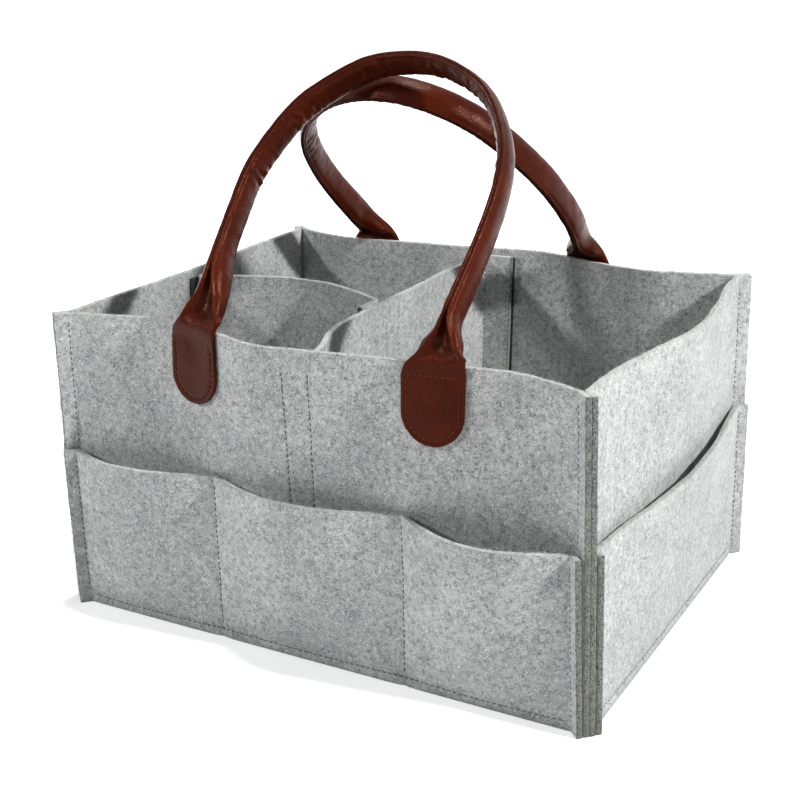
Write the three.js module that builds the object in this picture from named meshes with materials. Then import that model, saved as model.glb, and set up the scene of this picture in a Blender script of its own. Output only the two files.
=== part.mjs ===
// Felt caddy with outside pockets, removable dividers and two leather carrying handles.
// Millimetres, +Z up, +X to the right, the front faces -Y. The origin is the middle of the
// footprint, on the surface that the caddy stands on.

import * as THREE from 'three';

// Body sizes, measured between the corner seams
const bodyWidth = 318;
const bodyDepth = 238;
const wallHeight = 180;
const feltThickness = 3;
const topDrawIn = 3;
const topPushOut = 3;
const seamAllowance = 8;
const pieceGap = 0.3;
const rimDepth = 6;
const baseGap = 0.5;
const baseCornerRadius = 4;

// Walls bow away from their straight lines towards the free top edge
const longWallBow = 12;
const rightWallBow = 13;
const leftWallBow = 3;
const bowPower = 1.8;

// Outside pockets
const pocketHeight = 99;
const pocketSeamOffset = 59;
const leftPocketReach = 12;
const middlePocketReach = 14;
const rightPocketReach = 18;
const sidePocketReach = 11;
const bulgePower = 0.8;
const pocketEase = 0.4;

// Removable dividers
const dividerHeight = 167;
const flapWidth = 20;
const longDividerX = -13;
const longDividerDrift = 19;
const crossDividerY = -10;
const crossDividerBow = 22;

// Hook and loop strips
const stripWidth = 20;
const stripThickness = 1.2;
const stripTopMargin = 5;
const stripBottomMargin = 12;
const frontStripX = -2;
const backStripX = -2;
const leftStripY = -4;
const dividerStripY = -6;

// Carrying handles
const frontHandleSpacing = 144.5;
const backHandleSpacing = 150;
const frontHandleShift = 2;
const backHandleShift = -16.5;
const frontArchHeight = 173.7;
const backArchHeight = 159.7;
const frontLeanDegrees = 42.5;
const backLeanDegrees = 45;
const tabWidth = 34;
const tabDrop = 42;
const tabRise = 1;
const tabThickness = 2.4;
const tabGap = 0.5;
const neckWidth = 31;
const neckThickness = 3.6;
const neckLength = 28;
const gripWidth = 17.5;
const gripThickness = 7.5;
const leatherThickness = 1.3;
const sleeveSlit = 0.6;
const coreGap = 0.3;
const coreInset = 30;

// Sewing thread
const threadWidth = 0.8;
const threadHeight = 0.6;
const threadGap = 0.3;
const tabStitchInset = 3;
const baseStitchHeight = 5;

const layerPitch = feltThickness + pieceGap;
const gripSegments = 34;
const gripColumns = 12;

const feltMaterial = new THREE.MeshStandardMaterial({ color: 0xa3a5a6, roughness: 0.96, metalness: 0 });
const leatherMaterial = new THREE.MeshStandardMaterial({ color: 0x6b2a17, roughness: 0.36, metalness: 0 });
const stripMaterial = new THREE.MeshStandardMaterial({ color: 0x1b1b1d, roughness: 0.9, metalness: 0 });
const threadMaterial = new THREE.MeshStandardMaterial({ color: 0x55585b, roughness: 0.8, metalness: 0 });
const tabThreadMaterial = new THREE.MeshStandardMaterial({ color: 0x4b1d10, roughness: 0.7, metalness: 0 });
const coreMaterial = new THREE.MeshStandardMaterial({ color: 0xd8d4cb, roughness: 0.9, metalness: 0 });

// Smooth curve through a table of [place, value] pairs
function valueAt(table, place) {
  const last = table.length - 1;
  let k = 0;
  while (k < last - 1 && place > table[k + 1][0]) k += 1;
  const [x0, y0] = table[k];
  const [x1, y1] = table[k + 1];
  const slopeAt = (i) => {
    const before = table[Math.max(i - 1, 0)];
    const after = table[Math.min(i + 1, last)];
    return (after[1] - before[1]) / (after[0] - before[0]);
  };
  const span = x1 - x0;
  const t = THREE.MathUtils.clamp((place - x0) / span, 0, 1);
  const startPull = (2 * t - 3) * t * t + 1;
  const startSlope = ((t - 2) * t + 1) * t;
  const endPull = (3 - 2 * t) * t * t;
  const endSlope = (t - 1) * t * t;
  return startPull * y0 + startSlope * span * slopeAt(k) + endPull * y1 + endSlope * span * slopeAt(k + 1);
}

// Outward bow of each wall's top edge: [place along the wall, part of its bow]
const longWallBowShares = [
  [-0.5, 0], [-0.42, -0.5], [-0.345, -1], [-0.22, -0.58], [-0.09, 0.5], [0, 0.3],
  [0.11, -0.2], [0.24, -0.58], [0.37, -0.95], [0.44, -0.6], [0.5, 0],
];
const sideWallBowShares = [
  [-0.5, 0], [-0.36, 0.04], [-0.2, 0.45], [0, 1], [0.2, 0.72], [0.38, 0.2], [0.5, 0],
];

const pocketSeamShare = pocketSeamOffset / bodyWidth;

// One record for each side of the body, seen from outside, left to right
const longPockets = [
  { shares: [-0.5, -pocketSeamShare], reach: leftPocketReach },
  { shares: [-pocketSeamShare, pocketSeamShare], reach: middlePocketReach },
  { shares: [pocketSeamShare, 0.5], reach: rightPocketReach },
];
const sidePockets = [{ shares: [-0.5, 0.5], reach: sidePocketReach }];
const sides = {
  front: { turn: 0, long: true, bow: longWallBow, bowShares: longWallBowShares, pockets: longPockets },
  right: { turn: 1, long: false, bow: rightWallBow, bowShares: sideWallBowShares, pockets: sidePockets },
  back: { turn: 2, long: true, bow: longWallBow, bowShares: longWallBowShares, pockets: longPockets },
  left: { turn: 3, long: false, bow: -leftWallBow, bowShares: sideWallBowShares, pockets: sidePockets },
};

// Half sizes of the rectangle between the corner seams, at a height
function halfWidthAt(z) {
  return bodyWidth / 2 - topDrawIn * z / wallHeight;
}

function halfDepthAt(z) {
  return bodyDepth / 2 + topPushOut * z / wallHeight;
}

function bowAt(side, share, z) {
  return side.bow * valueAt(side.bowShares, share) * Math.pow(z / wallHeight, bowPower);
}

function bulgeAt(side, share, z) {
  const pocket = side.pockets.find((p) => share >= p.shares[0] && share <= p.shares[1]);
  const [start, end] = pocket.shares;
  const amount = pocket.reach - bowAt(side, (start + end) / 2, pocketHeight);
  const across = (share - start) / (end - start);
  return amount * Math.sin(Math.PI * across) * Math.pow(z / pocketHeight, bulgePower);
}

// From a side's own frame (along, outward from the centre) to plan coordinates
function toPlan(side, along, outward) {
  const turned = new THREE.Vector2(along, -outward);
  return turned.rotateAround(new THREE.Vector2(0, 0), side.turn * Math.PI / 2);
}

// Each point of an open outline moved sideways, with mitred corners
function offsetOutline(points, distance) {
  return points.map((point, i) => {
    const before = points[Math.max(i - 1, 0)];
    const after = points[Math.min(i + 1, points.length - 1)];
    const first = (i > 0 ? point.clone().sub(before) : after.clone().sub(point)).normalize();
    const second = (after === point ? first.clone() : after.clone().sub(point)).normalize();
    const normal = new THREE.Vector2(first.y + second.y, -first.x - second.x).normalize();
    const mitre = normal.x * first.y - normal.y * first.x;
    return point.clone().addScaledVector(normal, distance / mitre);
  });
}

function lift(points, z) {
  return points.map((p) => new THREE.Vector3(p.x, p.y, z));
}

// Closed solid between two grids of points with the same rows and columns
function shellGeometry(outer, inner) {
  const rows = outer.length;
  const columns = outer[0].length;
  const grid = outer.flat().concat(inner.flat());
  const far = rows * columns;
  const index = [];
  const quad = (a, b, c, d) => index.push(a, b, c, a, c, d);
  const at = (i, j) => i * columns + j;
  for (let i = 0; i < rows - 1; i += 1) {
    for (let j = 0; j < columns - 1; j += 1) {
      quad(at(i, j), at(i, j + 1), at(i + 1, j + 1), at(i + 1, j));
      quad(far + at(i, j), far + at(i + 1, j), far + at(i + 1, j + 1), far + at(i, j + 1));
    }
    const end = columns - 1;
    quad(at(i, 0), at(i + 1, 0), far + at(i + 1, 0), far + at(i, 0));
    quad(at(i, end), far + at(i, end), far + at(i + 1, end), at(i + 1, end));
  }
  for (let j = 0; j < columns - 1; j += 1) {
    const top = rows - 1;
    quad(at(0, j), far + at(0, j), far + at(0, j + 1), at(0, j + 1));
    quad(at(top, j), at(top, j + 1), far + at(top, j + 1), far + at(top, j));
  }
  return facingOut(grid, index);
}

// Closed solid through a run of closed rings, with a flat fan at each end
function ringGeometry(rings) {
  const count = rings[0].length;
  const grid = rings.flat();
  const index = [];
  for (let i = 0; i < rings.length - 1; i += 1) {
    for (let j = 0; j < count; j += 1) {
      const next = (j + 1) % count;
      const a = i * count + j;
      const b = i * count + next;
      index.push(a, b, b + count, a, b + count, a + count);
    }
  }
  for (const [ring, forward] of [[0, false], [rings.length - 1, true]]) {
    const centre = new THREE.Vector3();
    for (const point of rings[ring]) centre.addScaledVector(point, 1 / count);
    const middle = grid.push(centre) - 1;
    for (let j = 0; j < count; j += 1) {
      const a = ring * count + j;
      const b = ring * count + (j + 1) % count;
      if (forward) index.push(middle, a, b);
      else index.push(middle, b, a);
    }
  }
  return facingOut(grid, index);
}

function facingOut(grid, index) {
  let volume = 0;
  for (let k = 0; k < index.length; k += 3) {
    const [a, b, c] = [grid[index[k]], grid[index[k + 1]], grid[index[k + 2]]];
    volume += a.dot(b.clone().cross(c));
  }
  if (volume < 0) {
    for (let k = 0; k < index.length; k += 3) [index[k], index[k + 1]] = [index[k + 1], index[k]];
  }
  const geometry = new THREE.BufferGeometry();
  geometry.setAttribute('position', new THREE.Float32BufferAttribute(grid.flatMap((p) => p.toArray()), 3));
  geometry.setIndex(index);
  geometry.computeVertexNormals();
  return geometry;
}

// Sheet of an even thickness around a plan outline that may change with height
function sheetGeometry(outlineAt, heights, thickness) {
  const outer = heights.map((z) => lift(offsetOutline(outlineAt(z), thickness / 2), z));
  const inner = heights.map((z) => lift(offsetOutline(outlineAt(z), -thickness / 2), z));
  return shellGeometry(outer, inner);
}

function addMesh(group, name, geometry, material) {
  const mesh = new THREE.Mesh(geometry, material);
  mesh.name = name;
  group.add(mesh);
}

// Places along a side where an outline has a point. On a long side they are counted from the middle
// to the pocket seam, and from the pocket seam to the corner.
const innerOutlineShares = [0.245, 0.485, 0.755];
const outerOutlineShares = [0.11, 0.205, 0.365, 0.5, 0.62, 0.745, 0.875];
const halfOutlineShares = [
  ...innerOutlineShares.map((part) => part * pocketSeamShare),
  pocketSeamShare,
  ...outerOutlineShares.map((part) => THREE.MathUtils.lerp(pocketSeamShare, 0.5, part)),
];
const longOutlineShares = [...halfOutlineShares.map((share) => -share).reverse(), 0, ...halfOutlineShares];
const sideOutlineShares = [-0.46, -0.4, -0.33, -0.26, -0.18, -0.1, 0, 0.1, 0.18, 0.26, 0.33, 0.4, 0.46];

function outlineShares(side) {
  return side.long ? longOutlineShares : sideOutlineShares;
}

// Points on a side's wall at some shares of its length, moved outward by a distance
function wallPoints(side, shares, z, outward) {
  const length = 2 * (side.long ? halfWidthAt(z) : halfDepthAt(z));
  const reach = side.long ? halfDepthAt(z) : halfWidthAt(z);
  const points = shares.map((share) => {
    return toPlan(side, share * length, reach + bowAt(side, share, z));
  });
  return offsetOutline(points, outward);
}

// Middle line of one felt layer of a side: seam allowance, corner, wall, corner, seam allowance
function layerOutline(side, layer, z) {
  const length = 2 * (side.long ? halfWidthAt(z) : halfDepthAt(z));
  const reach = side.long ? halfDepthAt(z) : halfWidthAt(z);
  const outward = layer * (layerPitch + pocketEase);
  const fromDiagonal = layerPitch / 2 + outward;
  const cornerAlong = length / 2 + outward - Math.SQRT2 * fromDiagonal;
  const tipAlong = length / 2 + (seamAllowance - fromDiagonal) / Math.SQRT2;
  const tipOut = (seamAllowance + fromDiagonal) / Math.SQRT2;
  const wall = outlineShares(side).map((share) => {
    const bulge = layer > 0 ? bulgeAt(side, share, z) : 0;
    return toPlan(side, share * length, reach + outward + bowAt(side, share, z) + bulge);
  });
  return [
    toPlan(side, -tipAlong, reach + tipOut),
    toPlan(side, -cornerAlong, reach + outward),
    ...wall,
    toPlan(side, cornerAlong, reach + outward),
    toPlan(side, tipAlong, reach + tipOut),
  ];
}

const upperMiddle = (pocketHeight + wallHeight) / 2;
const pocketHeights = [0, baseStitchHeight, pocketHeight / 2, pocketHeight];
const wallHeights = [...pocketHeights, upperMiddle, wallHeight];

function buildFeltBody() {
  const group = new THREE.Group();
  for (const [name, side] of Object.entries(sides)) {
    const wall = sheetGeometry((z) => layerOutline(side, 0, z), wallHeights, feltThickness);
    addMesh(group, `${name}_wall`, wall, feltMaterial);
    const pocket = sheetGeometry((z) => layerOutline(side, 1, z), pocketHeights, feltThickness);
    addMesh(group, `${name}_pocket_panel`, pocket, feltMaterial);
  }
  addMesh(group, 'base_panel', baseGeometry(), feltMaterial);
  return group;
}

// Base panel with its edge turned down all round, open below
function baseGeometry() {
  const ring = (inset, z) => {
    const halfX = bodyWidth / 2 - feltThickness / 2 - baseGap - inset;
    const halfY = bodyDepth / 2 - feltThickness / 2 - baseGap - inset;
    const points = [];
    for (const [cornerX, cornerY, start] of [[1, 1, 0], [-1, 1, 1], [-1, -1, 2], [1, -1, 3]]) {
      for (let k = 0; k < 4; k += 1) {
        const angle = (start + k / 3) * Math.PI / 2;
        const x = cornerX * (halfX - baseCornerRadius) + baseCornerRadius * Math.cos(angle);
        const y = cornerY * (halfY - baseCornerRadius) + baseCornerRadius * Math.sin(angle);
        points.push(new THREE.Vector3(x, y, z));
      }
    }
    return points;
  };
  const top = rimDepth + feltThickness;
  return ringGeometry([ring(feltThickness, rimDepth), ring(feltThickness, 0), ring(0, 0), ring(0, top)]);
}

// Dividers stand on the base panel and are held by a flap at each end
const dividerBottom = rimDepth + feltThickness + pieceGap;
const dividerTop = dividerBottom + dividerHeight;
const stripBottom = dividerBottom + stripBottomMargin;
const hookTop = dividerTop - stripTopMargin;
const dividerHeights = [dividerBottom, stripBottom, pocketHeight, upperMiddle, hookTop, dividerTop];
const flapOffset = feltThickness + 2 * stripThickness + 3 * pieceGap;
const loopOffset = feltThickness / 2 + pieceGap + stripThickness / 2;
const hookOffset = loopOffset + stripThickness + pieceGap;

// Shares of a side that stand at a distance along it, measured from its middle at the bottom
function sharesAlong(side, from, to, steps) {
  const length = side.long ? bodyWidth : bodyDepth;
  return Array.from({ length: steps + 1 }, (_, k) => (from + (to - from) * k / steps) / length);
}

const frontFoldX = longDividerX + longDividerDrift;
const backFoldX = longDividerX;
const longDividerShares = [
  [0.72, -0.43], [0.3, -0.35], [0.06, -0.27], [0, -0.12], [0, 0.1], [-0.08, 0.28], [0, 0.42],
];

// Plan line of the long divider: front flap, sheet, back flap
function longDividerOutline(z) {
  const frontShares = sharesAlong(sides.front, frontFoldX - flapWidth, frontFoldX, 2);
  const backShares = sharesAlong(sides.back, -backFoldX - flapWidth, -backFoldX, 2);
  const front = wallPoints(sides.front, frontShares, z, -flapOffset);
  const back = wallPoints(sides.back, backShares, z, -flapOffset).reverse();
  const sheet = longDividerShares.map(([drift, depth]) => {
    return new THREE.Vector2(longDividerX + longDividerDrift * drift, depth * bodyDepth);
  });
  return [...front, ...sheet, ...back];
}

const crossRightX = longDividerX - flapOffset;
const crossDividerSteps = 9;

// Plan line of the cross divider: flap on the left wall, sheet, flap on the long divider. The left
// wall leans inward, so the flap stands upright from where it meets the wall's top edge.
function crossDividerOutline() {
  const leftShares = sharesAlong(sides.left, -crossDividerY - flapWidth, -crossDividerY, 2);
  const left = wallPoints(sides.left, leftShares, wallHeight, -flapOffset);
  const start = left[left.length - 1];
  const sheet = [];
  for (let k = 1; k < crossDividerSteps; k += 1) {
    const t = k / crossDividerSteps;
    const x = start.x + (crossRightX - start.x) * t;
    sheet.push(new THREE.Vector2(x, crossDividerY + crossDividerBow * Math.sin(Math.PI * t)));
  }
  const right = [crossDividerY, crossDividerY - flapWidth].map((y) => new THREE.Vector2(crossRightX, y));
  return [...left, ...sheet, ...right];
}

function stripOnWall(side, middle, outward, top, upright = false) {
  const shares = sharesAlong(side, middle - stripWidth / 2, middle + stripWidth / 2, 2);
  const heights = [stripBottom, pocketHeight, upperMiddle, top];
  const outline = (z) => wallPoints(side, shares, upright ? wallHeight : z, outward);
  return sheetGeometry(outline, heights, stripThickness);
}

function stripOnDivider(middleY, x) {
  const outline = [middleY - stripWidth / 2, middleY + stripWidth / 2].map((y) => new THREE.Vector2(x, y));
  return sheetGeometry(() => outline, [stripBottom, hookTop], stripThickness);
}

function buildDividers() {
  const group = new THREE.Group();
  const loopTop = wallHeight - stripTopMargin;
  const leftHookMiddle = -crossDividerY - flapWidth / 2;
  const longDivider = sheetGeometry(longDividerOutline, dividerHeights, feltThickness);
  addMesh(group, 'long_divider', longDivider, feltMaterial);
  const crossDivider = sheetGeometry(crossDividerOutline, dividerHeights, feltThickness);
  addMesh(group, 'cross_divider', crossDivider, feltMaterial);
  const places = [
    ['front_wall_loop_strip', sides.front, frontStripX, -loopOffset, loopTop],
    ['back_wall_loop_strip', sides.back, -backStripX, -loopOffset, loopTop],
    ['left_wall_loop_strip', sides.left, -leftStripY, -loopOffset, loopTop],
    ['long_divider_front_hook_strip', sides.front, frontFoldX - flapWidth / 2, -hookOffset, hookTop],
    ['long_divider_back_hook_strip', sides.back, -backFoldX - flapWidth / 2, -hookOffset, hookTop],
    ['cross_divider_left_hook_strip', sides.left, leftHookMiddle, -hookOffset, hookTop, true],
  ];
  for (const [name, side, middle, outward, top, upright] of places) {
    addMesh(group, name, stripOnWall(side, middle, outward, top, upright), stripMaterial);
  }
  const loop = stripOnDivider(dividerStripY, longDividerX - loopOffset);
  addMesh(group, 'long_divider_loop_strip', loop, stripMaterial);
  const hook = stripOnDivider(crossDividerY - flapWidth / 2, longDividerX - hookOffset);
  addMesh(group, 'cross_divider_right_hook_strip', hook, stripMaterial);
  return group;
}

// Middle line of each grip in its own leaning plane: [across, up]
const frontGripShares = [
  [-1, 0], [-0.95, 0.046], [-0.947, 0.13], [-0.988, 0.25], [-1.01, 0.4], [-1.013, 0.54], [-0.963, 0.64],
  [-0.807, 0.8], [-0.585, 0.9], [-0.332, 0.973], [-0.034, 0.998], [0.21, 0.993], [0.465, 0.956],
  [0.709, 0.89], [0.882, 0.8], [1.015, 0.69], [1.075, 0.57], [1.085, 0.43], [1.064, 0.28],
  [1.038, 0.12], [1.044, 0.046], [1, 0],
];
const backGripShares = [
  [-1, 0], [-1.027, 0.07], [-1.063, 0.165], [-1.12, 0.32], [-1.137, 0.48], [-1.092, 0.635],
  [-1.001, 0.74], [-0.819, 0.85], [-0.55, 0.945], [-0.292, 0.99], [-0.089, 1], [0.124, 0.987],
  [0.367, 0.935], [0.587, 0.85], [0.756, 0.735], [0.956, 0.513], [1.04, 0.3], [1.045, 0.19],
  [1.02, 0.1], [1, 0],
];

const hingeHeight = wallHeight + tabRise + neckThickness / 2 + pieceGap;
const tabOffset = feltThickness / 2 + tabGap + tabThickness / 2;
const handles = {
  front: {
    side: sides.front, facing: 1, shift: frontHandleShift, spacing: frontHandleSpacing,
    lean: frontLeanDegrees, height: frontArchHeight, shares: frontGripShares,
  },
  back: {
    side: sides.back, facing: -1, shift: backHandleShift, spacing: backHandleSpacing,
    lean: backLeanDegrees, height: backArchHeight, shares: backGripShares,
  },
};

// Distance along a handle's wall of its left or right tab, as seen in plan from the front
function tabAlong(handle, sign) {
  return handle.facing * (handle.shift + sign * handle.spacing / 2);
}

function hingeDistance(handle) {
  const bows = [-1, 1].map((sign) => bowAt(handle.side, tabAlong(handle, sign) / bodyWidth, wallHeight));
  return halfDepthAt(wallHeight) + (bows[0] + bows[1]) / 2 + tabOffset;
}

// Leaning plane of a grip: where it starts, its upward and its sideways direction
function gripPlane(handle) {
  const lean = THREE.MathUtils.degToRad(handle.lean);
  return {
    origin: new THREE.Vector3(handle.shift, -handle.facing * hingeDistance(handle), hingeHeight),
    up: new THREE.Vector3(0, handle.facing * Math.sin(lean), Math.cos(lean)),
    side: new THREE.Vector3(0, handle.facing * Math.cos(lean), -Math.sin(lean)),
  };
}

function gripCurve(handle, plane) {
  const points = handle.shares.map(([across, up]) => {
    const point = plane.origin.clone().addScaledVector(plane.up, up * handle.height);
    point.x += across * handle.spacing / 2;
    return point;
  });
  return new THREE.CatmullRomCurve3(points, false, 'centripetal');
}

// Half sizes of the grip's oval at a distance from its nearer end
function gripHalfSizes(distance) {
  const t = THREE.MathUtils.smoothstep(distance, 0, neckLength);
  return {
    inPlane: THREE.MathUtils.lerp(neckWidth, gripThickness, t) / 2,
    across: THREE.MathUtils.lerp(neckThickness, gripWidth, t) / 2,
  };
}

// Frame of each cross section along a grip, from one end to the other
function gripFrames(handle) {
  const plane = gripPlane(handle);
  const curve = gripCurve(handle, plane);
  const length = curve.getLength();
  return Array.from({ length: gripSegments + 1 }, (_, k) => {
    const share = k / gripSegments;
    const distance = length * Math.min(share, 1 - share);
    const tangent = curve.getTangentAt(share);
    if (share === 0 || share === 1) tangent.copy(plane.up).multiplyScalar(share === 0 ? 1 : -1);
    return {
      centre: curve.getPointAt(share),
      outward: new THREE.Vector3().crossVectors(plane.side, tangent).normalize(),
      side: plane.side,
      distance,
      half: gripHalfSizes(distance),
    };
  });
}

function ovalPoint(frame, angle, inward) {
  const inPlane = (frame.half.inPlane - inward) * Math.cos(angle);
  const across = (frame.half.across - inward) * Math.sin(angle);
  return frame.centre.clone().addScaledVector(frame.outward, inPlane).addScaledVector(frame.side, across);
}

// Leather wrapped round the filler, its two long edges meeting at a slit on the front edge
function sleeveGeometry(handle) {
  const frames = gripFrames(handle);
  const row = (frame, inward) => Array.from({ length: gripColumns + 1 }, (_, j) => {
    const slitAngle = sleeveSlit / (2 * Math.max(frame.half.inPlane - inward, leatherThickness));
    const start = -handle.facing * Math.PI / 2 + slitAngle;
    return ovalPoint(frame, start + 2 * (Math.PI - slitAngle) * j / gripColumns, inward);
  });
  return shellGeometry(frames.map((f) => row(f, 0)), frames.map((f) => row(f, leatherThickness)));
}

function coreGeometry(handle) {
  const frames = gripFrames(handle).filter((frame) => frame.distance >= coreInset);
  const rings = frames.map((frame) => Array.from({ length: gripColumns }, (_, j) => {
    return ovalPoint(frame, 2 * Math.PI * j / gripColumns, leatherThickness + coreGap);
  }));
  return ringGeometry(rings);
}

const tabTurnShares = [0.13, 0.33, 0.55, 0.77, 1];

// Half width of a tab at each of its heights, round at the bottom
function tabRows(inset) {
  const radius = tabWidth / 2 - inset;
  const bottom = wallHeight - tabDrop + inset;
  const rows = tabTurnShares.map((turn) => {
    const angle = turn * Math.PI / 2;
    return { z: bottom + radius * (1 - Math.cos(angle)), half: radius * Math.sin(angle) };
  });
  rows.push({ z: wallHeight + tabRise - inset, half: radius });
  return rows;
}

function tabGeometry(handle, sign) {
  const middle = tabAlong(handle, sign);
  const at = (row, outward) => {
    const shares = sharesAlong(handle.side, middle - row.half, middle + row.half, 6);
    return lift(wallPoints(handle.side, shares, row.z, outward), row.z);
  };
  const rows = tabRows(0);
  const near = tabOffset - tabThickness / 2;
  return shellGeometry(rows.map((row) => at(row, near + tabThickness)), rows.map((row) => at(row, near)));
}

// Thread lying along a line of points on a surface, square in section
function threadGeometry(points, normals) {
  const last = points.length - 1;
  const sections = points.map((point, i) => {
    const along = points[Math.min(i + 1, last)].clone().sub(points[Math.max(i - 1, 0)]).normalize();
    const across = new THREE.Vector3().crossVectors(along, normals[i]).normalize();
    const low = point.clone().addScaledVector(normals[i], threadGap);
    const high = low.clone().addScaledVector(normals[i], threadHeight);
    const pair = (p) => [-1, 1].map((s) => p.clone().addScaledVector(across, s * threadWidth / 2));
    return [pair(low), pair(high)];
  });
  return shellGeometry(sections.map((s) => s[1]), sections.map((s) => s[0]));
}

// Stitching that holds a tab to its wall: down one side, round the bottom and up the other
function tabThreadGeometry(handle, sign) {
  const rows = tabRows(tabStitchInset);
  const middle = tabAlong(handle, sign);
  const places = [
    ...rows.slice().reverse().map((row) => [middle - row.half, row.z]),
    ...rows.map((row) => [middle + row.half, row.z]),
  ];
  const surface = tabOffset + tabThickness / 2;
  const points = [];
  const normals = [];
  for (const [along, z] of places) {
    const shares = sharesAlong(handle.side, along - tabStitchInset, along + tabStitchInset, 2);
    const line = wallPoints(handle.side, shares, z, surface);
    const direction = line[2].clone().sub(line[0]).normalize();
    points.push(new THREE.Vector3(line[1].x, line[1].y, z));
    normals.push(new THREE.Vector3(direction.y, -direction.x, 0));
  }
  return threadGeometry(points, normals);
}

function buildHandles() {
  const group = new THREE.Group();
  for (const [name, handle] of Object.entries(handles)) {
    for (const [hand, sign] of [['left', -1], ['right', 1]]) {
      addMesh(group, `${name}_handle_${hand}_tab`, tabGeometry(handle, sign), leatherMaterial);
      const thread = tabThreadGeometry(handle, sign);
      addMesh(group, `${name}_handle_${hand}_tab_thread`, thread, tabThreadMaterial);
    }
    addMesh(group, `${name}_handle_leather`, sleeveGeometry(handle), leatherMaterial);
    addMesh(group, `${name}_handle_core`, coreGeometry(handle), coreMaterial);
  }
  return group;
}

// Outer face of a felt layer and its outward direction, at a point of the layer's outline
function layerSurface(side, layer, index, z) {
  const outline = layerOutline(side, layer, z);
  const face = offsetOutline(outline, feltThickness / 2);
  const before = face[Math.max(index - 1, 0)];
  const after = face[Math.min(index + 1, face.length - 1)];
  const direction = after.clone().sub(before).normalize();
  return {
    point: new THREE.Vector3(face[index].x, face[index].y, z),
    normal: new THREE.Vector3(direction.y, -direction.x, 0),
  };
}

function threadThrough(places) {
  return threadGeometry(places.map((p) => p.point), places.map((p) => p.normal));
}

function buildSeams() {
  const group = new THREE.Group();
  const seamStart = baseStitchHeight + 2 * threadWidth;
  for (const [name, side] of Object.entries(sides)) {
    const shares = outlineShares(side);
    const row = shares.map((_, k) => layerSurface(side, 1, k + 2, baseStitchHeight));
    addMesh(group, `${name}_base_seam_thread`, threadThrough(row), threadMaterial);
    if (!side.long) continue;
    for (const [hand, sign] of [['left', -1], ['right', 1]]) {
      const index = shares.indexOf(sign * pocketSeamShare) + 2;
      const heights = [seamStart, pocketHeight / 2, pocketHeight - threadWidth];
      const seam = heights.map((z) => layerSurface(side, 1, index, z));
      addMesh(group, `${name}_${hand}_pocket_seam_thread`, threadThrough(seam), threadMaterial);
      const corner = cornerThreadPlaces(side, sign);
      addMesh(group, `${name}_${hand}_corner_seam_thread`, threadThrough(corner), threadMaterial);
    }
  }
  return group;
}

// Corner seam line above the pocket panel, on the wall's own seam allowance
function cornerThreadPlaces(side, sign) {
  const heights = [pocketHeight + 2 * threadWidth, upperMiddle, wallHeight - threadWidth];
  const end = outlineShares(side).length + 3;
  const tip = sign < 0 ? 0 : end;
  const corner = sign < 0 ? 1 : end - 1;
  return heights.map((z) => {
    const face = offsetOutline(layerOutline(side, 0, z), feltThickness / 2);
    const direction = face[Math.max(tip, corner)].clone().sub(face[Math.min(tip, corner)]).normalize();
    const place = face[corner].clone().add(face[tip]).divideScalar(2);
    return {
      point: new THREE.Vector3(place.x, place.y, z),
      normal: new THREE.Vector3(direction.y, -direction.x, 0),
    };
  });
}

const caddy = new THREE.Group();
caddy.add(buildFeltBody(), buildDividers(), buildHandles(), buildSeams());

export default caddy;
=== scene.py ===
import math

import bpy
import numpy as np
from mathutils import Matrix, Vector, noise


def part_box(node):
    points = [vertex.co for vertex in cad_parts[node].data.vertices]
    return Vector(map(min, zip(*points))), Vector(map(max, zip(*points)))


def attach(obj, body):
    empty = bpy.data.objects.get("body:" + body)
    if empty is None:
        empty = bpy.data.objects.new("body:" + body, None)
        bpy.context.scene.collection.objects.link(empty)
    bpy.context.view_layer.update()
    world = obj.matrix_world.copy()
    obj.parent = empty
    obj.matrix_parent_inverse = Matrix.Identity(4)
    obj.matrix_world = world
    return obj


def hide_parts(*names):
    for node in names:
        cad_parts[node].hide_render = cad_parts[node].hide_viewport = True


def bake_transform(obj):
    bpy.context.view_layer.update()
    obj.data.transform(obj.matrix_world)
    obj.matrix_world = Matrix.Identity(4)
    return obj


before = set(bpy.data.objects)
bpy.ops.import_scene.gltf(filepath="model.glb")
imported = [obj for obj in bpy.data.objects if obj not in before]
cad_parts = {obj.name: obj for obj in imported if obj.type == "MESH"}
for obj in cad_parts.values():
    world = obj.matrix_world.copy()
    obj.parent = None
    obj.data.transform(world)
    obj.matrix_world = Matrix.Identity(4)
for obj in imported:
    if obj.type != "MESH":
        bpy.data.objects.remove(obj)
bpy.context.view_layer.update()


# Photo studio: a white floor under soft lamps. The camera stands to the right of the front, a little
# above the rim, where the four corners of the body fall on those of the photograph.
camera_place = (0.38436, -0.70576, 0.39250)
camera_yaw, camera_pitch, camera_roll = math.radians(29.22), math.radians(19.12), math.radians(-0.86)
camera_lens = 64.0

back = Vector((
    math.sin(camera_yaw) * math.cos(camera_pitch),
    -math.cos(camera_yaw) * math.cos(camera_pitch),
    math.sin(camera_pitch),
))
level = Vector((math.cos(camera_yaw), math.sin(camera_yaw), 0))
upright = back.cross(level)
right = level * math.cos(camera_roll) + upright * math.sin(camera_roll)
above = upright * math.cos(camera_roll) - level * math.sin(camera_roll)
bpy.ops.object.camera_add(location=camera_place)
camera = bpy.context.object
camera.rotation_mode = "QUATERNION"
camera.rotation_quaternion = Matrix((right, above, back)).transposed().to_quaternion()
camera.data.lens = camera_lens
camera.data.sensor_width = 36
camera.data.clip_start = 0.01
bpy.context.scene.camera = camera
bpy.context.scene.view_settings.view_transform = "Standard"


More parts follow.
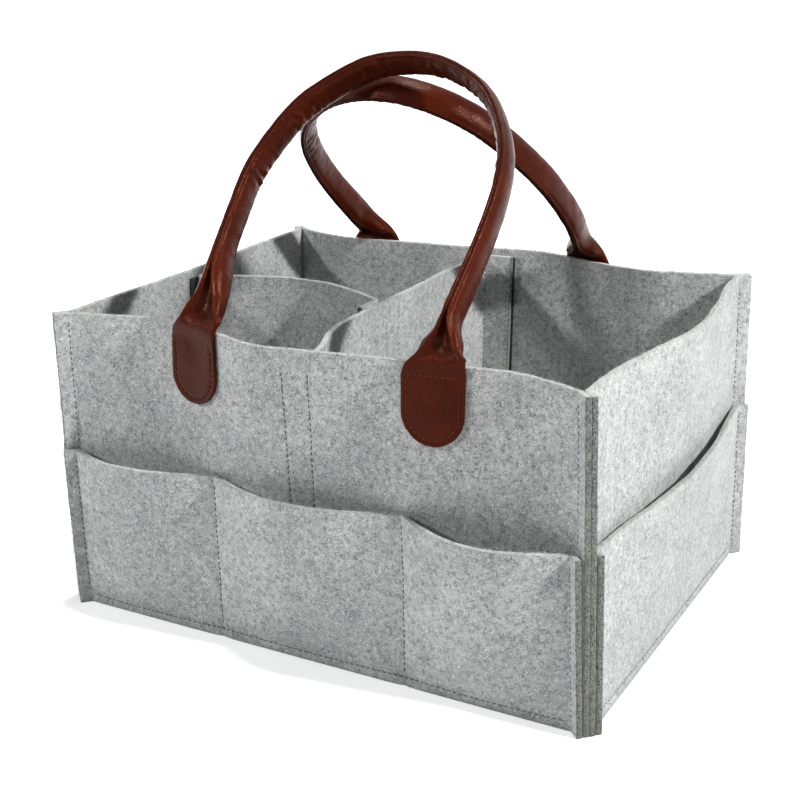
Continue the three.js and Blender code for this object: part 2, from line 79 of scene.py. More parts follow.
def add_node(tree, kind, settings=None, **inputs):
    """A shader node with some of its settings and socket values; a socket as a value makes a link.

    Spaces in a socket's name are written as underscores, and _0 stands for the first socket.
    """
    node = tree.nodes.new(kind)
    for key, value in (settings or {}).items():
        setattr(node, key, value)
    for key, value in inputs.items():
        socket = node.inputs[int(key[1:])] if key[0] == "_" else node.inputs[key.replace("_", " ")]
        if isinstance(value, bpy.types.NodeSocket):
            tree.links.new(value, socket)
        else:
            socket.default_value = value
    return node


def map_range(tree, value, low, high, to_low=0.0, to_high=1.0):
    node = add_node(tree, "ShaderNodeMapRange", {"interpolation_type": "SMOOTHSTEP"},
                    Value=value, From_Min=low, From_Max=high, To_Min=to_low, To_Max=to_high)
    return node.outputs[0]


def math_node(tree, operation, first, second=0.0):
    return add_node(tree, "ShaderNodeMath", {"operation": operation}, _0=first, _1=second).outputs[0]


def seen_directly(tree):
    """1 for camera, mirror and glass rays, which see the plain backdrop, and 0 for the light itself."""
    rays = add_node(tree, "ShaderNodeLightPath").outputs
    seen = math_node(tree, "MAXIMUM", rays["Is Camera Ray"], rays["Is Glossy Ray"])
    return math_node(tree, "MAXIMUM", seen, rays["Is Transmission Ray"])


def new_material(name):
    """An empty material, its nodes and the object coordinates that its patterns follow."""
    material = bpy.data.materials.new(name)
    material.use_nodes = True
    material.node_tree.nodes.clear()
    place = add_node(material.node_tree, "ShaderNodeTexCoord").outputs["Object"]
    return material, material.node_tree, place


world = bpy.data.worlds.new("studio")
bpy.context.scene.world = world
world.use_nodes = True
tree = world.node_tree
tree.nodes.clear()
room_light = add_node(tree, "ShaderNodeBackground", Color=(0.95, 0.97, 1, 1), Strength=0.17)
backdrop = add_node(tree, "ShaderNodeBackground", Color=(1, 1, 1, 1), Strength=1)
room = add_node(tree, "ShaderNodeMixShader", _0=seen_directly(tree), _1=room_light.outputs[0],
                _2=backdrop.outputs[0])
add_node(tree, "ShaderNodeOutputWorld", Surface=room.outputs[0])

bpy.ops.mesh.primitive_plane_add(size=16)
floor = bpy.context.object
floor.name = "studio_floor"
paper, tree, place = new_material("white paper floor")
paper_face = add_node(tree, "ShaderNodeBsdfDiffuse", Color=(0.86, 0.86, 0.86, 1), Roughness=1)
paper_reach = add_node(tree, "ShaderNodeVectorMath", {"operation": "LENGTH"}, _0=place)
paper_glow = map_range(tree, paper_reach.outputs["Value"], 0.32, 1.2, 0.45, 1.0)
paper_lift = add_node(tree, "ShaderNodeEmission", Color=(1, 1, 1, 1), Strength=paper_glow)
paper_sum = add_node(tree, "ShaderNodeAddShader", _0=paper_face.outputs[0], _1=paper_lift.outputs[0])
paper_mix = add_node(tree, "ShaderNodeMixShader", _0=seen_directly(tree),
                     _1=paper_face.outputs[0], _2=paper_sum.outputs[0])
add_node(tree, "ShaderNodeOutputMaterial", Surface=paper_mix.outputs[0])
floor.data.materials.append(paper)

lamp_target = Vector((0, 0, 0.12))
lamps = [
    ("key_lamp", (1.35, -0.1, 1.1), 0.1, 31),
    ("top_lamp", (-0.1, 0.2, 1.9), 0.16, 18),
    ("front_lamp", (-0.8, -1.05, 0.8), 0.1, 8),
]
for lamp_name, lamp_place, lamp_size, lamp_power in lamps:
    bpy.ops.object.light_add(type="AREA", location=lamp_place)
    lamp = bpy.context.object
    lamp.name = lamp_name
    lamp.data.size = lamp_size
    lamp.data.energy = lamp_power
    lamp.rotation_mode = "QUATERNION"
    lamp.rotation_quaternion = (Vector(lamp_place) - lamp_target).to_track_quat("Z", "Y")


# Felt walls: four cut panels of 3 mm heathered felt, sewn together face to face along their ends, so
# that each corner shows a raw edge turned outwards at 45 degrees. Lengths are in millimetres here and
# become metres when a mesh is made.
body_width, body_depth, wall_height = 318.0, 238.0, 180.0
felt_thickness, piece_gap, pocket_ease = 3.0, 0.3, 0.4
layer_pitch = felt_thickness + piece_gap
top_draw_in, top_push_out, bow_power = 3.0, 3.0, 1.8
seam_allowance, crook_radius = 8.0, 1.6
long_wall_bow = [
    (-0.5, 0), (-0.42, -0.5), (-0.345, -1), (-0.22, -0.58), (-0.09, 0.5), (0, 0.3),
    (0.11, -0.2), (0.24, -0.58), (0.37, -0.95), (0.44, -0.6), (0.5, 0),
]
side_wall_bow = [(-0.5, 0), (-0.36, 0.04), (-0.2, 0.45), (0, 1), (0.2, 0.72), (0.38, 0.2), (0.5, 0)]
pocket_height, bulge_power = 99.0, 0.8
pocket_seam_offset = 59.0
seam_share = pocket_seam_offset / body_width
long_pockets = [(-0.5, -seam_share, 12.0), (-seam_share, seam_share, 14.0), (seam_share, 0.5, 18.0)]
side_pockets = [(-0.5, 0.5, 11.0)]
sides = {
    "front": {"turn": 0, "long": True, "bow": 12.0, "shape": long_wall_bow, "pockets": long_pockets},
    "right": {"turn": 1, "long": False, "bow": 13.0, "shape": side_wall_bow, "pockets": side_pockets},
    "back": {"turn": 2, "long": True, "bow": 12.0, "shape": long_wall_bow, "pockets": long_pockets},
    "left": {"turn": 3, "long": False, "bow": -3.0, "shape": side_wall_bow, "pockets": side_pockets},
}


def smooth_table(table, place):
    """Smooth curve through [place, value] pairs, read at an array of places."""
    xs, ys = np.array(table, float).T
    slopes = np.empty_like(ys)
    slopes[1:-1] = (ys[2:] - ys[:-2]) / (xs[2:] - xs[:-2])
    slopes[0] = (ys[1] - ys[0]) / (xs[1] - xs[0])
    slopes[-1] = (ys[-1] - ys[-2]) / (xs[-1] - xs[-2])
    k = np.clip(np.searchsorted(xs, place) - 1, 0, len(xs) - 2)
    span = xs[k + 1] - xs[k]
    t = np.clip((place - xs[k]) / span, 0, 1)
    start = ((2 * t - 3) * t * t + 1) * ys[k] + ((t - 2) * t + 1) * t * span * slopes[k]
    return start + (3 - 2 * t) * t * t * ys[k + 1] + (t - 1) * t * t * span * slopes[k + 1]


def side_reach(side, z):
    """Length of a side between its corner seams, and its distance from the middle, at a height."""
    half_width = body_width / 2 - top_draw_in * z / wall_height
    half_depth = body_depth / 2 + top_push_out * z / wall_height
    return (2 * half_width, half_depth) if side["long"] else (2 * half_depth, half_width)


def bow_of(side, share, z):
    return side["bow"] * smooth_table(side["shape"], share) * (z / wall_height) ** bow_power


def bulge_of(side, share, z):
    amount = np.zeros_like(share)
    for start, end, reach in side["pockets"]:
        inside = (share >= start) & (share <= end)
        full = reach - bow_of(side, np.array([(start + end) / 2]), np.array([pocket_height]))[0]
        across = np.clip((share - start) / (end - start), 0, 1)
        rise = (np.clip(z, 0, None) / pocket_height) ** bulge_power
        amount = np.where(inside, full * np.sin(math.pi * across) * rise, amount)
    return amount


def corner_along(side, layer, z):
    length, _ = side_reach(side, z)
    outward = layer * (layer_pitch + pocket_ease)
    return length / 2 + outward - math.sqrt(2) * (layer_pitch / 2 + outward)


def flange_length(layer):
    outward = layer * (layer_pitch + pocket_ease)
    return seam_allowance - layer_pitch / 2 - outward + math.sqrt(2) * (math.sqrt(2) * layer_pitch / 2
                                                                       + (math.sqrt(2) - 1) * outward)


def sharp_line(side, layer, s, z):
    """Middle line of a felt layer in its side's frame, at a distance s along it, with sharp corners."""
    length, reach = side_reach(side, z)
    outward = layer * (layer_pitch + pocket_ease)
    corner = corner_along(side, layer, z)
    along = np.clip(s, -corner, corner)
    spare = np.abs(s) - np.abs(along)
    share = np.clip(along / (2 * corner), -0.5, 0.5)
    out = reach + outward + bow_of(side, share, z)
    if layer:
        out = out + bulge_of(side, share * (2 * corner / length), z)
    return along + np.sign(s) * spare / math.sqrt(2), out + spare / math.sqrt(2)


def waviness(side, along, z):
    """Slow unevenness of the felt, the same for every layer of a side."""
    turn = side["turn"] * 7.3
    flat = np.array([noise.noise((a / 38, h / 42, turn)) + 0.4 * noise.noise((a / 14, h / 15, turn + 3))
                     for a, h in zip(along.ravel(), z.ravel())]).reshape(along.shape)
    length, _ = side_reach(side, z)
    fade = np.clip((length / 2 - np.abs(along)) / 25, 0, 1) * np.clip(z / 60, 0, 1)
    return 0.9 * flat * fade


def felt_point(side, layer, s, z, lift=0.0):
    """Plan coordinates and outward direction of a felt layer, with its corners rounded off."""
    s, z = np.broadcast_arrays(np.asarray(s, float), np.asarray(z, float))
    steps = np.linspace(-crook_radius, crook_radius, 9)
    rounded = [np.zeros(s.shape), np.zeros(s.shape)]
    ahead = [np.zeros(s.shape), np.zeros(s.shape)]
    for step in steps:
        for total, shift in ((rounded, step), (ahead, step + 0.4)):
            along, out = sharp_line(side, layer, s + shift, z)
            total[0] += along / len(steps)
            total[1] += out / len(steps)
    run_along, run_out = ahead[0] - rounded[0], ahead[1] - rounded[1]
    size = np.hypot(run_along, run_out)
    normal_along, normal_out = -run_out / size, run_along / size
    offset = lift + waviness(side, rounded[0], z)
    along = rounded[0] + normal_along * offset
    out = rounded[1] + normal_out * offset
    angle = side["turn"] * math.pi / 2
    c, sn = math.cos(angle), math.sin(angle)
    place = np.stack([along * c + out * sn, along * sn - out * c, z], -1)
    normal = np.stack([normal_along * c + normal_out * sn, normal_along * sn - normal_out * c, 0 * z], -1)
    return place, normal


def spread(start, end, pitch, dense=(), near=3.0, fine=0.7):
    """Even places from start to end, with more of them around each dense place."""
    places = list(np.linspace(start, end, max(2, int(round((end - start) / pitch)) + 1)))
    for middle in dense:
        places = [p for p in places if abs(p - middle) > near or p in (places[0], places[-1])]
        places += list(np.arange(middle - near, middle + near + fine / 2, fine))
    kept = []
    for p in sorted(q for q in places if start <= q <= end):
        if not kept or p - kept[-1] > fine * 0.45:
            kept.append(p)
    kept[-1] = end
    return np.array(kept)


def new_piece(name, make):
    """The object that an operator makes while nothing else is selected, with its name."""
    bpy.ops.object.select_all(action="DESELECT")
    make()
    piece = bpy.context.object
    piece.name = name
    return piece


def apply_all(piece):
    bpy.context.view_layer.objects.active = piece
    for modifier in list(piece.modifiers):
        bpy.ops.object.modifier_apply(modifier=modifier.name)


def round_edges(piece, width):
    """Finishes a sheet: its cut edges are rounded and all its modifiers applied."""
    round_off = piece.modifiers.new("rounded edge", "BEVEL")
    round_off.width = width * 0.001
    round_off.segments = 2
    round_off.limit_method = "ANGLE"
    round_off.angle_limit = math.radians(60)
    apply_all(piece)
    piece.data.shade_smooth()


def cut_panel(name, points, normals, thickness, edge=0.6, outer_shift=0.0, inner_shift=0.0):
    """A sheet of an even thickness over a grid of points, with softly rounded cut edges."""
    rows, columns = points.shape[:2]
    piece = new_piece(name, lambda: bpy.ops.mesh.primitive_grid_add(
        x_subdivisions=columns - 1, y_subdivisions=rows - 1, size=1))
    count = rows * columns
    middle, flat = points.reshape(-1, 3), normals.reshape(-1, 3)
    piece.data.vertices.foreach_set("co", (middle * 0.001).ravel())
    for mask_name, rim in (("cut_edge", np.s_[[0, -1], :]), ("cut_end", np.s_[:, [0, -1]])):
        border = np.zeros((rows, columns), np.float32)
        border[rim] = 1
        mask = piece.data.attributes.new(mask_name, "FLOAT", "POINT")
        mask.data.foreach_set("value", border.ravel())
    wall = piece.modifiers.new("thickness", "SOLIDIFY")
    wall.thickness = thickness * 0.001
    wall.offset = 0
    apply_all(piece)
    made = np.empty(len(piece.data.vertices) * 3)
    piece.data.vertices.foreach_get("co", made)
    made = made.reshape(-1, 3)
    shells = [middle + flat * (np.ravel(outer_shift) + thickness / 2)[:, None],
              middle + flat * (np.ravel(inner_shift) - thickness / 2)[:, None]]
    first_is_outer = ((made[:count] - made[count:2 * count]) * flat).sum() > 0
    made[:2 * count] = np.concatenate(shells if first_is_outer else shells[::-1]) * 0.001
    piece.data.vertices.foreach_set("co", made.ravel())
    piece.data.update()
    round_edges(piece, edge)
    return piece


def mix_colours(tree, share, first, second):
    """The first colour going over into the second; each is a colour or a socket."""
    colours = [c if isinstance(c, bpy.types.NodeSocket) else (*c, 1) for c in (first, second)]
    return add_node(tree, "ShaderNodeMix", {"data_type": "RGBA"}, _0=share,
                    _6=colours[0], _7=colours[1]).outputs[2]


def noise_node(tree, place, scale, detail, **inputs):
    return add_node(tree, "ShaderNodeTexNoise", Vector=place, Scale=scale, Detail=detail, **inputs).outputs


def relief_of(tree, height, strength, distance):
    """The normal of a face with a height pattern pressed into it."""
    return add_node(tree, "ShaderNodeBump", Height=height, Strength=strength, Distance=distance).outputs[0]


def finish_material(tree, **inputs):
    finish = add_node(tree, "ShaderNodeBsdfPrincipled", **inputs)
    add_node(tree, "ShaderNodeOutputMaterial", Surface=finish.outputs[0])


def shader_group(name, inputs, outputs):
    """An empty node group with named sockets, and its input and output nodes."""
    group = bpy.data.node_groups.new(name, "ShaderNodeTree")
    for socket_name, kind, value in inputs:
        socket = group.interface.new_socket(name=socket_name, in_out="INPUT", socket_type=kind)
        if value is not None:
            socket.default_value = value
    for socket_name, kind in outputs:
        group.interface.new_socket(name=socket_name, in_out="OUTPUT", socket_type=kind)
    return group, group.nodes.new("NodeGroupInput"), group.nodes.new("NodeGroupOutput")


# Heather: short dark and light fibres lying every way, clouds of them, and their relief
heather, heather_in, heather_out = shader_group(
    "heathered fibres",
    [("Vector", "NodeSocketVector", None), ("Fibre Density", "NodeSocketFloat", 1.0)],
    [("Dark Fibres", "NodeSocketFloat"), ("Light Fibres", "NodeSocketFloat"),
     ("Clouds", "NodeSocketFloat"), ("Height", "NodeSocketFloat")],
)
fibre_place = heather_in.outputs["Vector"]
bend = noise_node(heather, fibre_place, 330.0, 1.0)
bend_shift = add_node(heather, "ShaderNodeVectorMath", {"operation": "SCALE"},
                      _0=bend["Color"], Scale=0.0045)
bent = add_node(heather, "ShaderNodeVectorMath", {"operation": "ADD"},
                _0=fibre_place, _1=bend_shift.outputs[0])
fibre_turns = [(0.5, 0.4, 0.2), (-0.8, 0.6, 1.1), (1.3, -0.4, 0.7), (0.3, -1.2, 2.4)]
for index, turn in enumerate(fibre_turns):
    turned = add_node(heather, "ShaderNodeMapping", {"vector_type": "TEXTURE"},
                      Vector=bent.outputs[0], Rotation=turn, Scale=(1, 1, 6),
                      Location=(0.013 * index, 0.007 * index, 0.003 * index))
    strand = noise_node(heather, turned.outputs[0], 1350.0, 1.0)["Fac"]
    dark = map_range(heather, strand, 0.59, 0.68)
    light = map_range(heather, strand, 0.39, 0.30)
    if index == 0:
        dark_fibres, light_fibres, relief = dark, light, strand
    else:
        dark_fibres = math_node(heather, "MAXIMUM", dark_fibres, dark)
        light_fibres = math_node(heather, "MAXIMUM", light_fibres, light)
        relief = math_node(heather, "ADD", relief, strand)
clouds = noise_node(heather, fibre_place, 300.0, 3.0, Roughness=0.6)["Fac"]
patches = noise_node(heather, fibre_place, 60.0, 3.0)["Fac"]
gathered = map_range(heather, clouds, 0.36, 0.68)
denser = math_node(heather, "ADD", math_node(heather, "MULTIPLY", gathered, 0.6), 0.45)
dark_out = math_node(heather, "MULTIPLY", math_node(heather, "MULTIPLY", dark_fibres, denser),
                     heather_in.outputs["Fibre Density"])
cloud_out = math_node(heather, "ADD", math_node(heather, "MULTIPLY", gathered, 0.45),
                      math_node(heather, "MULTIPLY", patches, 0.7))
for value, socket in ((dark_out, "Dark Fibres"), (light_fibres, "Light Fibres"),
                      (cloud_out, "Clouds"), (relief, "Height")):
    heather.links.new(value, heather_out.inputs[socket])

felt, tree, place = new_material("heather grey felt")
fibres = add_node(tree, "ShaderNodeGroup", {"node_tree": heather}, Vector=place).outputs
edge_mask = add_node(tree, "ShaderNodeAttribute", {"attribute_name": "cut_edge"}).outputs["Fac"]
end_mask = add_node(tree, "ShaderNodeAttribute", {"attribute_name": "cut_end"}).outputs["Fac"]
drift = noise_node(tree, place, 26.0, 2.0)["Fac"]
tone = mix_colours(tree, fibres["Clouds"], (0.615, 0.625, 0.615), (0.27, 0.276, 0.274))
tone = mix_colours(tree, map_range(tree, drift, 0.36, 0.64, 0.0, 0.34), tone, (0.19, 0.205, 0.215))
packed = mix_colours(tree, map_range(tree, fibres["Height"], 1.72, 2.3),
                     (0.165, 0.172, 0.138), (0.012, 0.013, 0.010))
felt_tones = [
    (fibres["Light Fibres"], 0.5, (0.80, 0.81, 0.79)),
    (fibres["Dark Fibres"], 0.7, (0.09, 0.095, 0.10)),
    (edge_mask, 0.45, (0.30, 0.305, 0.285)),
    (end_mask, 0.88, packed),
]
for mask, strength, colour in felt_tones:
    tone = mix_colours(tree, math_node(tree, "MULTIPLY", mask, strength), tone, colour)
finish_material(tree, Base_Color=tone, Roughness=0.95, Normal=relief_of(tree, fibres["Height"], 0.4, 0.0004),
                Sheen_Weight=0.25, Sheen_Roughness=0.6)


def edge_unevenness(places, seed):
    """Small rises and falls of a line cut by hand in felt."""
    return np.array([0.28 * noise.noise((p / 6.0, seed, 0.5)) + 0.12 * noise.noise((p / 1.7, seed, 4.5))
                     for p in places])


def felt_grid(side, layer, top, lines, seed, pitch, near, fine, stitched=()):
    """Distances along a felt panel and heights, as a grid that is denser at folds, seams and edges.

    With them come the heights of its rows and how much thicker each face of its flanges is, which are
    pressed flat against each other.
    """
    end = corner_along(side, layer, 0.0) + flange_length(layer)
    crook = corner_along(side, layer, top / 2)
    s = spread(-end, end, pitch, dense=[-crook - 1.5, crook + 1.5, *lines], near=near, fine=fine)
    # One more row close to each end keeps the cut end's tone at the end
    s = np.concatenate([[s[0], s[0] + 0.5], s[1:-1], [s[-1] - 0.5, s[-1]]])
    z = spread(0.0, top, 3.2, dense=[*stitched, top - 1.0], near=2.4, fine=0.8)
    # The line shortens as the body narrows towards the top, so each row is fitted to its own length
    along = s[None, :] * ((corner_along(side, layer, z) + flange_length(layer)) / end)[:, None]
    # Both cut ends waver a little
    turn = 30 + seed
    waver = np.array([[0.35 * noise.noise((h / 9.0, k, turn)) + 0.15 * noise.noise((h / 2.5, k, turn))
                       for k in (0.5, 7.5)] for h in z])
    along[:, :2] += waver[:, :1]
    along[:, -2:] += waver[:, 1:]
    heights = np.repeat(z[:, None], len(s), 1)
    heights[-1] += edge_unevenness(s, seed)
    return along, heights, z, 0.15 * np.clip((np.abs(along) - crook) / 1.5, 0, 1)


strip_middles = {"front": -2.0, "back": 2.0, "left": 4.0}
strip_seam, strip_seam_bottom = 7.3, 20.0


def sewn_dips(s, z, lines, depth, quilting=0.0):
    """How far the outer face is pulled in along upright seams, a little more at every other stitch."""
    pull, squeeze = np.zeros((2, *np.broadcast(s, z).shape))
    for line in lines:
        pull = np.maximum(pull, np.exp(-((s - line) / 1.0) ** 2))
        squeeze = np.maximum(squeeze, np.exp(-((s - line) / 5.5) ** 2))
    return -depth * pull * (1 + 0.3 * np.cos(z * 2 * math.pi / 6.6)) - quilting * squeeze


for seed, (side_name, side) in enumerate(sides.items()):
    middle = strip_middles.get(side_name)
    lines = () if middle is None else (middle - strip_seam, middle + strip_seam)
    along, heights, _, flat = felt_grid(side, 0, wall_height, lines, 10 + seed, 3.4, near=3.6, fine=0.9)
    points, normals = felt_point(side, 0, along, heights)
    dips = sewn_dips(along, heights, lines, 0.45) * (heights > strip_seam_bottom)
    wall = cut_panel(side_name + "_felt_wall", points, normals, felt_thickness,
                     outer_shift=dips + flat, inner_shift=-flat)
    wall.data.materials.append(felt)
    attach(wall, "caddy_body")
    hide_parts(side_name + "_wall")


# Outside pockets: a second, lower felt panel on each side, sewn into the corner seams and along the
# bottom, and on the long sides also down two lines that part it into three pockets. Between its
# seams it stands off in a soft belly.
pocket_quilting, base_quilting = 0.6, 0.45
base_stitch_height = 5.0
for seed, (side_name, side) in enumerate(sides.items()):
    lines = (-pocket_seam_offset, pocket_seam_offset) if side["long"] else ()
    along, heights, z, flat = felt_grid(side, 1, pocket_height, lines, 20 + seed, 2.6, near=4.0, fine=0.8,
                                        stitched=[base_stitch_height])
    points, normals = felt_point(side, 1, along, heights)
    between_corners = np.clip((corner_along(side, 1, z)[:, None] - np.abs(along)) / 3, 0, 1)
    base_dip = np.exp(-((heights - base_stitch_height) / 0.9) ** 2)
    rim_flare = np.clip(1 - heights / 4.2, 0, 1)
    base_squeeze = np.exp(-((heights - base_stitch_height) / 3.8) ** 2)
    outer = sewn_dips(along, heights, lines, 0.5, quilting=pocket_quilting)
    outer += (0.5 * rim_flare - 0.7 * base_dip - base_quilting * base_squeeze) * between_corners
    panel = cut_panel(side_name + "_felt_pocket", points, normals, felt_thickness,
                      outer_shift=outer + flat, inner_shift=-flat)
    panel.data.materials.append(felt)
    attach(panel, "caddy_body")
    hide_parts(side_name + "_pocket_panel")


# Bottom: one felt panel with its edge turned down all round, sewn between the lower edges of the
# walls, so the body stands on the turned edge.
def face_outwards():
    """Ends an edit with all faces of the piece turned outwards."""
    bpy.ops.mesh.select_all(action="SELECT")
    bpy.ops.mesh.normals_make_consistent(inside=False)
    bpy.ops.object.mode_set(mode="OBJECT")


base_low, base_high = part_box("base_panel")
base_middle = (base_low + base_high) / 2
base_size = base_high - base_low
tray = new_piece("felt_bottom", lambda: bpy.ops.mesh.primitive_cube_add(size=1, location=base_middle))
tray.scale = base_size
bpy.ops.object.transform_apply(location=True, rotation=False, scale=True)
bpy.ops.object.mode_set(mode="EDIT")
bpy.ops.mesh.select_mode(type="FACE")
bpy.ops.mesh.select_all(action="DESELECT")
bpy.ops.object.mode_set(mode="OBJECT")
for face in tray.data.polygons:
    face.select = face.normal.z < -0.5
bpy.ops.object.mode_set(mode="EDIT")
bpy.ops.mesh.delete(type="FACE")
bpy.ops.mesh.select_mode(type="EDGE")
bpy.ops.mesh.select_all(action="DESELECT")
bpy.ops.object.mode_set(mode="OBJECT")
for edge in tray.data.edges:
    a, b = (tray.data.vertices[i].co for i in edge.vertices)
    edge.select = min(a.z, b.z) > base_low.z + 0.001 or abs(a.z - b.z) > 0.001
bpy.ops.object.mode_set(mode="EDIT")
bpy.ops.mesh.bevel(offset=0.0035, segments=4)
face_outwards()
tray_wall = tray.modifiers.new("thickness", "SOLIDIFY")
tray_wall.thickness = felt_thickness * 0.001
tray_wall.offset = -1
round_edges(tray, 0.5)
tray.data.materials.append(felt)
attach(tray, "caddy_body")
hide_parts("base_panel")


# Removable dividers: two felt panels that stand on the bottom. Each end is folded into an upright
# flap that grips the wall or the other divider, so they lift straight out.
divider_bottom, divider_height, flap_width, fold_radius = 9.3, 167.0, 20.0, 2.2
strip_thickness, strip_top_margin = 1.2, 5.0
flap_offset = felt_thickness + 2 * strip_thickness + 3 * piece_gap
long_divider_x, long_divider_drift = -13.0, 19.0
long_divider_shares = [
    (0.72, -0.43), (0.3, -0.35), (0.06, -0.27), (0, -0.12), (0, 0.1), (-0.08, 0.28), (0, 0.42),
]
cross_divider_y, cross_divider_bow = -10.0, 22.0
# Where each flap folds off its wall, along that wall
front_fold, back_fold, left_fold = long_divider_x + long_divider_drift, -long_divider_x, -cross_divider_y


def blend_of(first, second, share):
    return first + (second - first) * share


def inside_wall(side_name, start, end, z, offset):
    """Points in front of the inner face of a wall, between two distances along it at the bottom."""
    side = sides[side_name]
    length = body_width if side["long"] else body_depth
    along = np.linspace(start, end, 5) / length * side_reach(side, z)[0]
    place, _ = felt_point(side, 0, along, z, lift=-offset)
    return [tuple(p[:2]) for p in place]


def distances_along(points):
    """Distance of each point from the first one, along the line through them all."""
    return np.concatenate([[0], np.cumsum(np.linalg.norm(np.diff(points, axis=0), axis=1))])


def read_at(places, distance, table):
    """Rows of a table that belongs to the points of a line, read at places along that line."""
    return np.stack([np.interp(places, distance, column) for column in table.T], -1)


def folded_line(corners, count):
    """Even points along a folded line, its folds and bends rounded off, and the directions out of it."""
    corners = np.array(corners, float)
    distance = distances_along(corners)
    total = distance[-1]
    first = (corners[1] - corners[0]) / distance[1]
    last = (corners[-1] - corners[-2]) / (total - distance[-2])

    def at(d):
        low, high = np.clip(-d, 0, None), np.clip(d - total, 0, None)
        return read_at(d, distance, corners) - low[:, None] * first + high[:, None] * last

    d = np.linspace(0, total, count)
    shifts = np.linspace(-fold_radius, fold_radius, 9)
    line = sum(at(d + k) for k in shifts) / len(shifts)
    run = sum(at(d + k + 0.3) for k in shifts) / len(shifts) - line
    run /= np.linalg.norm(run, axis=-1)[:, None]
    return line, np.stack([run[:, 1], -run[:, 0]], -1)


def standing_sheet(line_at, heights, count):
    """Grid of points of an upright sheet, from its folded line at each height, with its normals."""
    rows = [folded_line(line_at(z), count) for z in heights]
    points = np.stack([np.column_stack([line, np.full(count, z)]) for (line, _), z in zip(rows, heights)])
    return points, np.stack([np.column_stack([normal, np.zeros(count)]) for _, normal in rows])


def long_divider_line(z):
    front = inside_wall("front", front_fold - flap_width, front_fold, z, flap_offset)
    back_flap = inside_wall("back", back_fold - flap_width, back_fold, z, flap_offset)
    sheet = [(long_divider_x + long_divider_drift * a, b * body_depth) for a, b in long_divider_shares]
    return front + sheet + back_flap[::-1]


def cross_divider_line(z):
    left = inside_wall("left", left_fold - flap_width, left_fold, wall_height, flap_offset)
    start_x, end_x = left[-1][0], long_divider_x - flap_offset
    sheet = [(blend_of(start_x, end_x, t), cross_divider_y + cross_divider_bow * math.sin(math.pi * t))
             for t in (k / 12 for k in range(1, 12))]
    return left + sheet + [(end_x, cross_divider_y), (end_x, cross_divider_y - flap_width)]


divider_rows = divider_bottom + spread(0.0, divider_height, 4.0, dense=[divider_height - 1.0],
                                       near=2.4, fine=0.8)
divider_lines = [
    ("long_felt_divider", "long_divider", "long_divider_set", long_divider_line, 130),
    ("cross_felt_divider", "cross_divider", "cross_divider_set", cross_divider_line, 90),
]
for seed, (name, node, body, line_at, count) in enumerate(divider_lines):
    points, normals = standing_sheet(line_at, divider_rows, count)
    points[-1, :, 2] += edge_unevenness(np.linspace(0, 200, count), 30 + seed)
    divider = cut_panel(name, points, normals, felt_thickness)
    divider.data.materials.append(felt)
    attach(divider, body)
    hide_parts(node)


# Hook and loop strips: black pile tape, 20 mm wide, sewn on the walls and on the long divider, with
# the hook half on each flap. The pile lies between two flat woven margins.
strip_width, pile_margin = 20.0, 1.6
strip_bottom = divider_bottom + 12
hook_top = divider_bottom + divider_height - strip_top_margin
loop_top = wall_height - strip_top_margin
loop_offset = felt_thickness / 2 + piece_gap + strip_thickness / 2
hook_offset = loop_offset + strip_thickness + piece_gap

tape, tree, place = new_material("black hook and loop tape")
loops = add_node(tree, "ShaderNodeTexVoronoi", Vector=place, Scale=1100.0).outputs["Distance"]
lint = noise_node(tree, place, 420.0, 4.0)["Fac"]
tone = mix_colours(tree, map_range(tree, lint, 0.45, 0.75), (0.010, 0.010, 0.011), (0.045, 0.046, 0.05))
finish_material(tree, Base_Color=tone, Roughness=0.85, Normal=relief_of(tree, loops, 0.9, 0.0005),
                Sheen_Weight=0.2)


def tape_piece(name, node, body, line_at, top, flip=False):
    z = np.linspace(strip_bottom, top, 130)
    across = np.linspace(0, strip_width, 21)
    points, normals = standing_sheet(line_at, z, len(across))
    fluffy = np.clip((np.minimum(across, strip_width - across) - pile_margin) / 0.8, 0, 1)
    rough = np.array([[noise.noise((a * 0.9, h * 0.9, 7)) for a in across] for h in z])
    shift = fluffy[None, :] * (0.12 * rough) - 0.3 * (1 - fluffy[None, :])
    shifts = {"outer_shift": shift} if flip else {"inner_shift": -shift}
    piece = cut_panel(name, points, normals, strip_thickness, edge=0.25, **shifts)
    piece.data.materials.append(tape)
    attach(piece, body)
    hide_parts(node)


def on_wall(side_name, middle, offset, upright=False):
    return lambda z: inside_wall(side_name, middle - strip_width / 2, middle + strip_width / 2,
                                 wall_height if upright else z, offset)


def on_divider(middle, x):
    return lambda z: [(x, middle - strip_width / 2), (x, middle + strip_width / 2)]


for side_name, middle in strip_middles.items():
    tape_piece(side_name + "_wall_loops", side_name + "_wall_loop_strip", "caddy_body",
               on_wall(side_name, middle, loop_offset), loop_top)
flaps = [
    ("front", "long_divider", front_fold - flap_width / 2),
    ("back", "long_divider", back_fold - flap_width / 2),
    ("left", "cross_divider", left_fold - flap_width / 2),
]
for side_name, divider_name, middle in flaps:
    tape_piece(side_name + "_flap_hooks", f"{divider_name}_{side_name}_hook_strip", divider_name + "_set",
               on_wall(side_name, middle, hook_offset, upright=side_name == "left"), hook_top, flip=True)
divider_strip_y, right_flap_y = -6.0, cross_divider_y - flap_width / 2
tape_piece("divider_loops", "long_divider_loop_strip", "long_divider_set",
           on_divider(divider_strip_y, long_divider_x - loop_offset), hook_top, flip=True)
tape_piece("right_flap_hooks", "cross_divider_right_hook_strip", "cross_divider_set",
           on_divider(right_flap_y, long_divider_x - hook_offset), hook_top)


# Stitching of the body: grey thread in short lockstitches that sink into the felt, along the bottom,
# down the pocket seams and the corners, and along both margins of every hook and loop strip.
stitch_pitch, stitch_length, stitch_width = 3.3, 2.5, 0.75


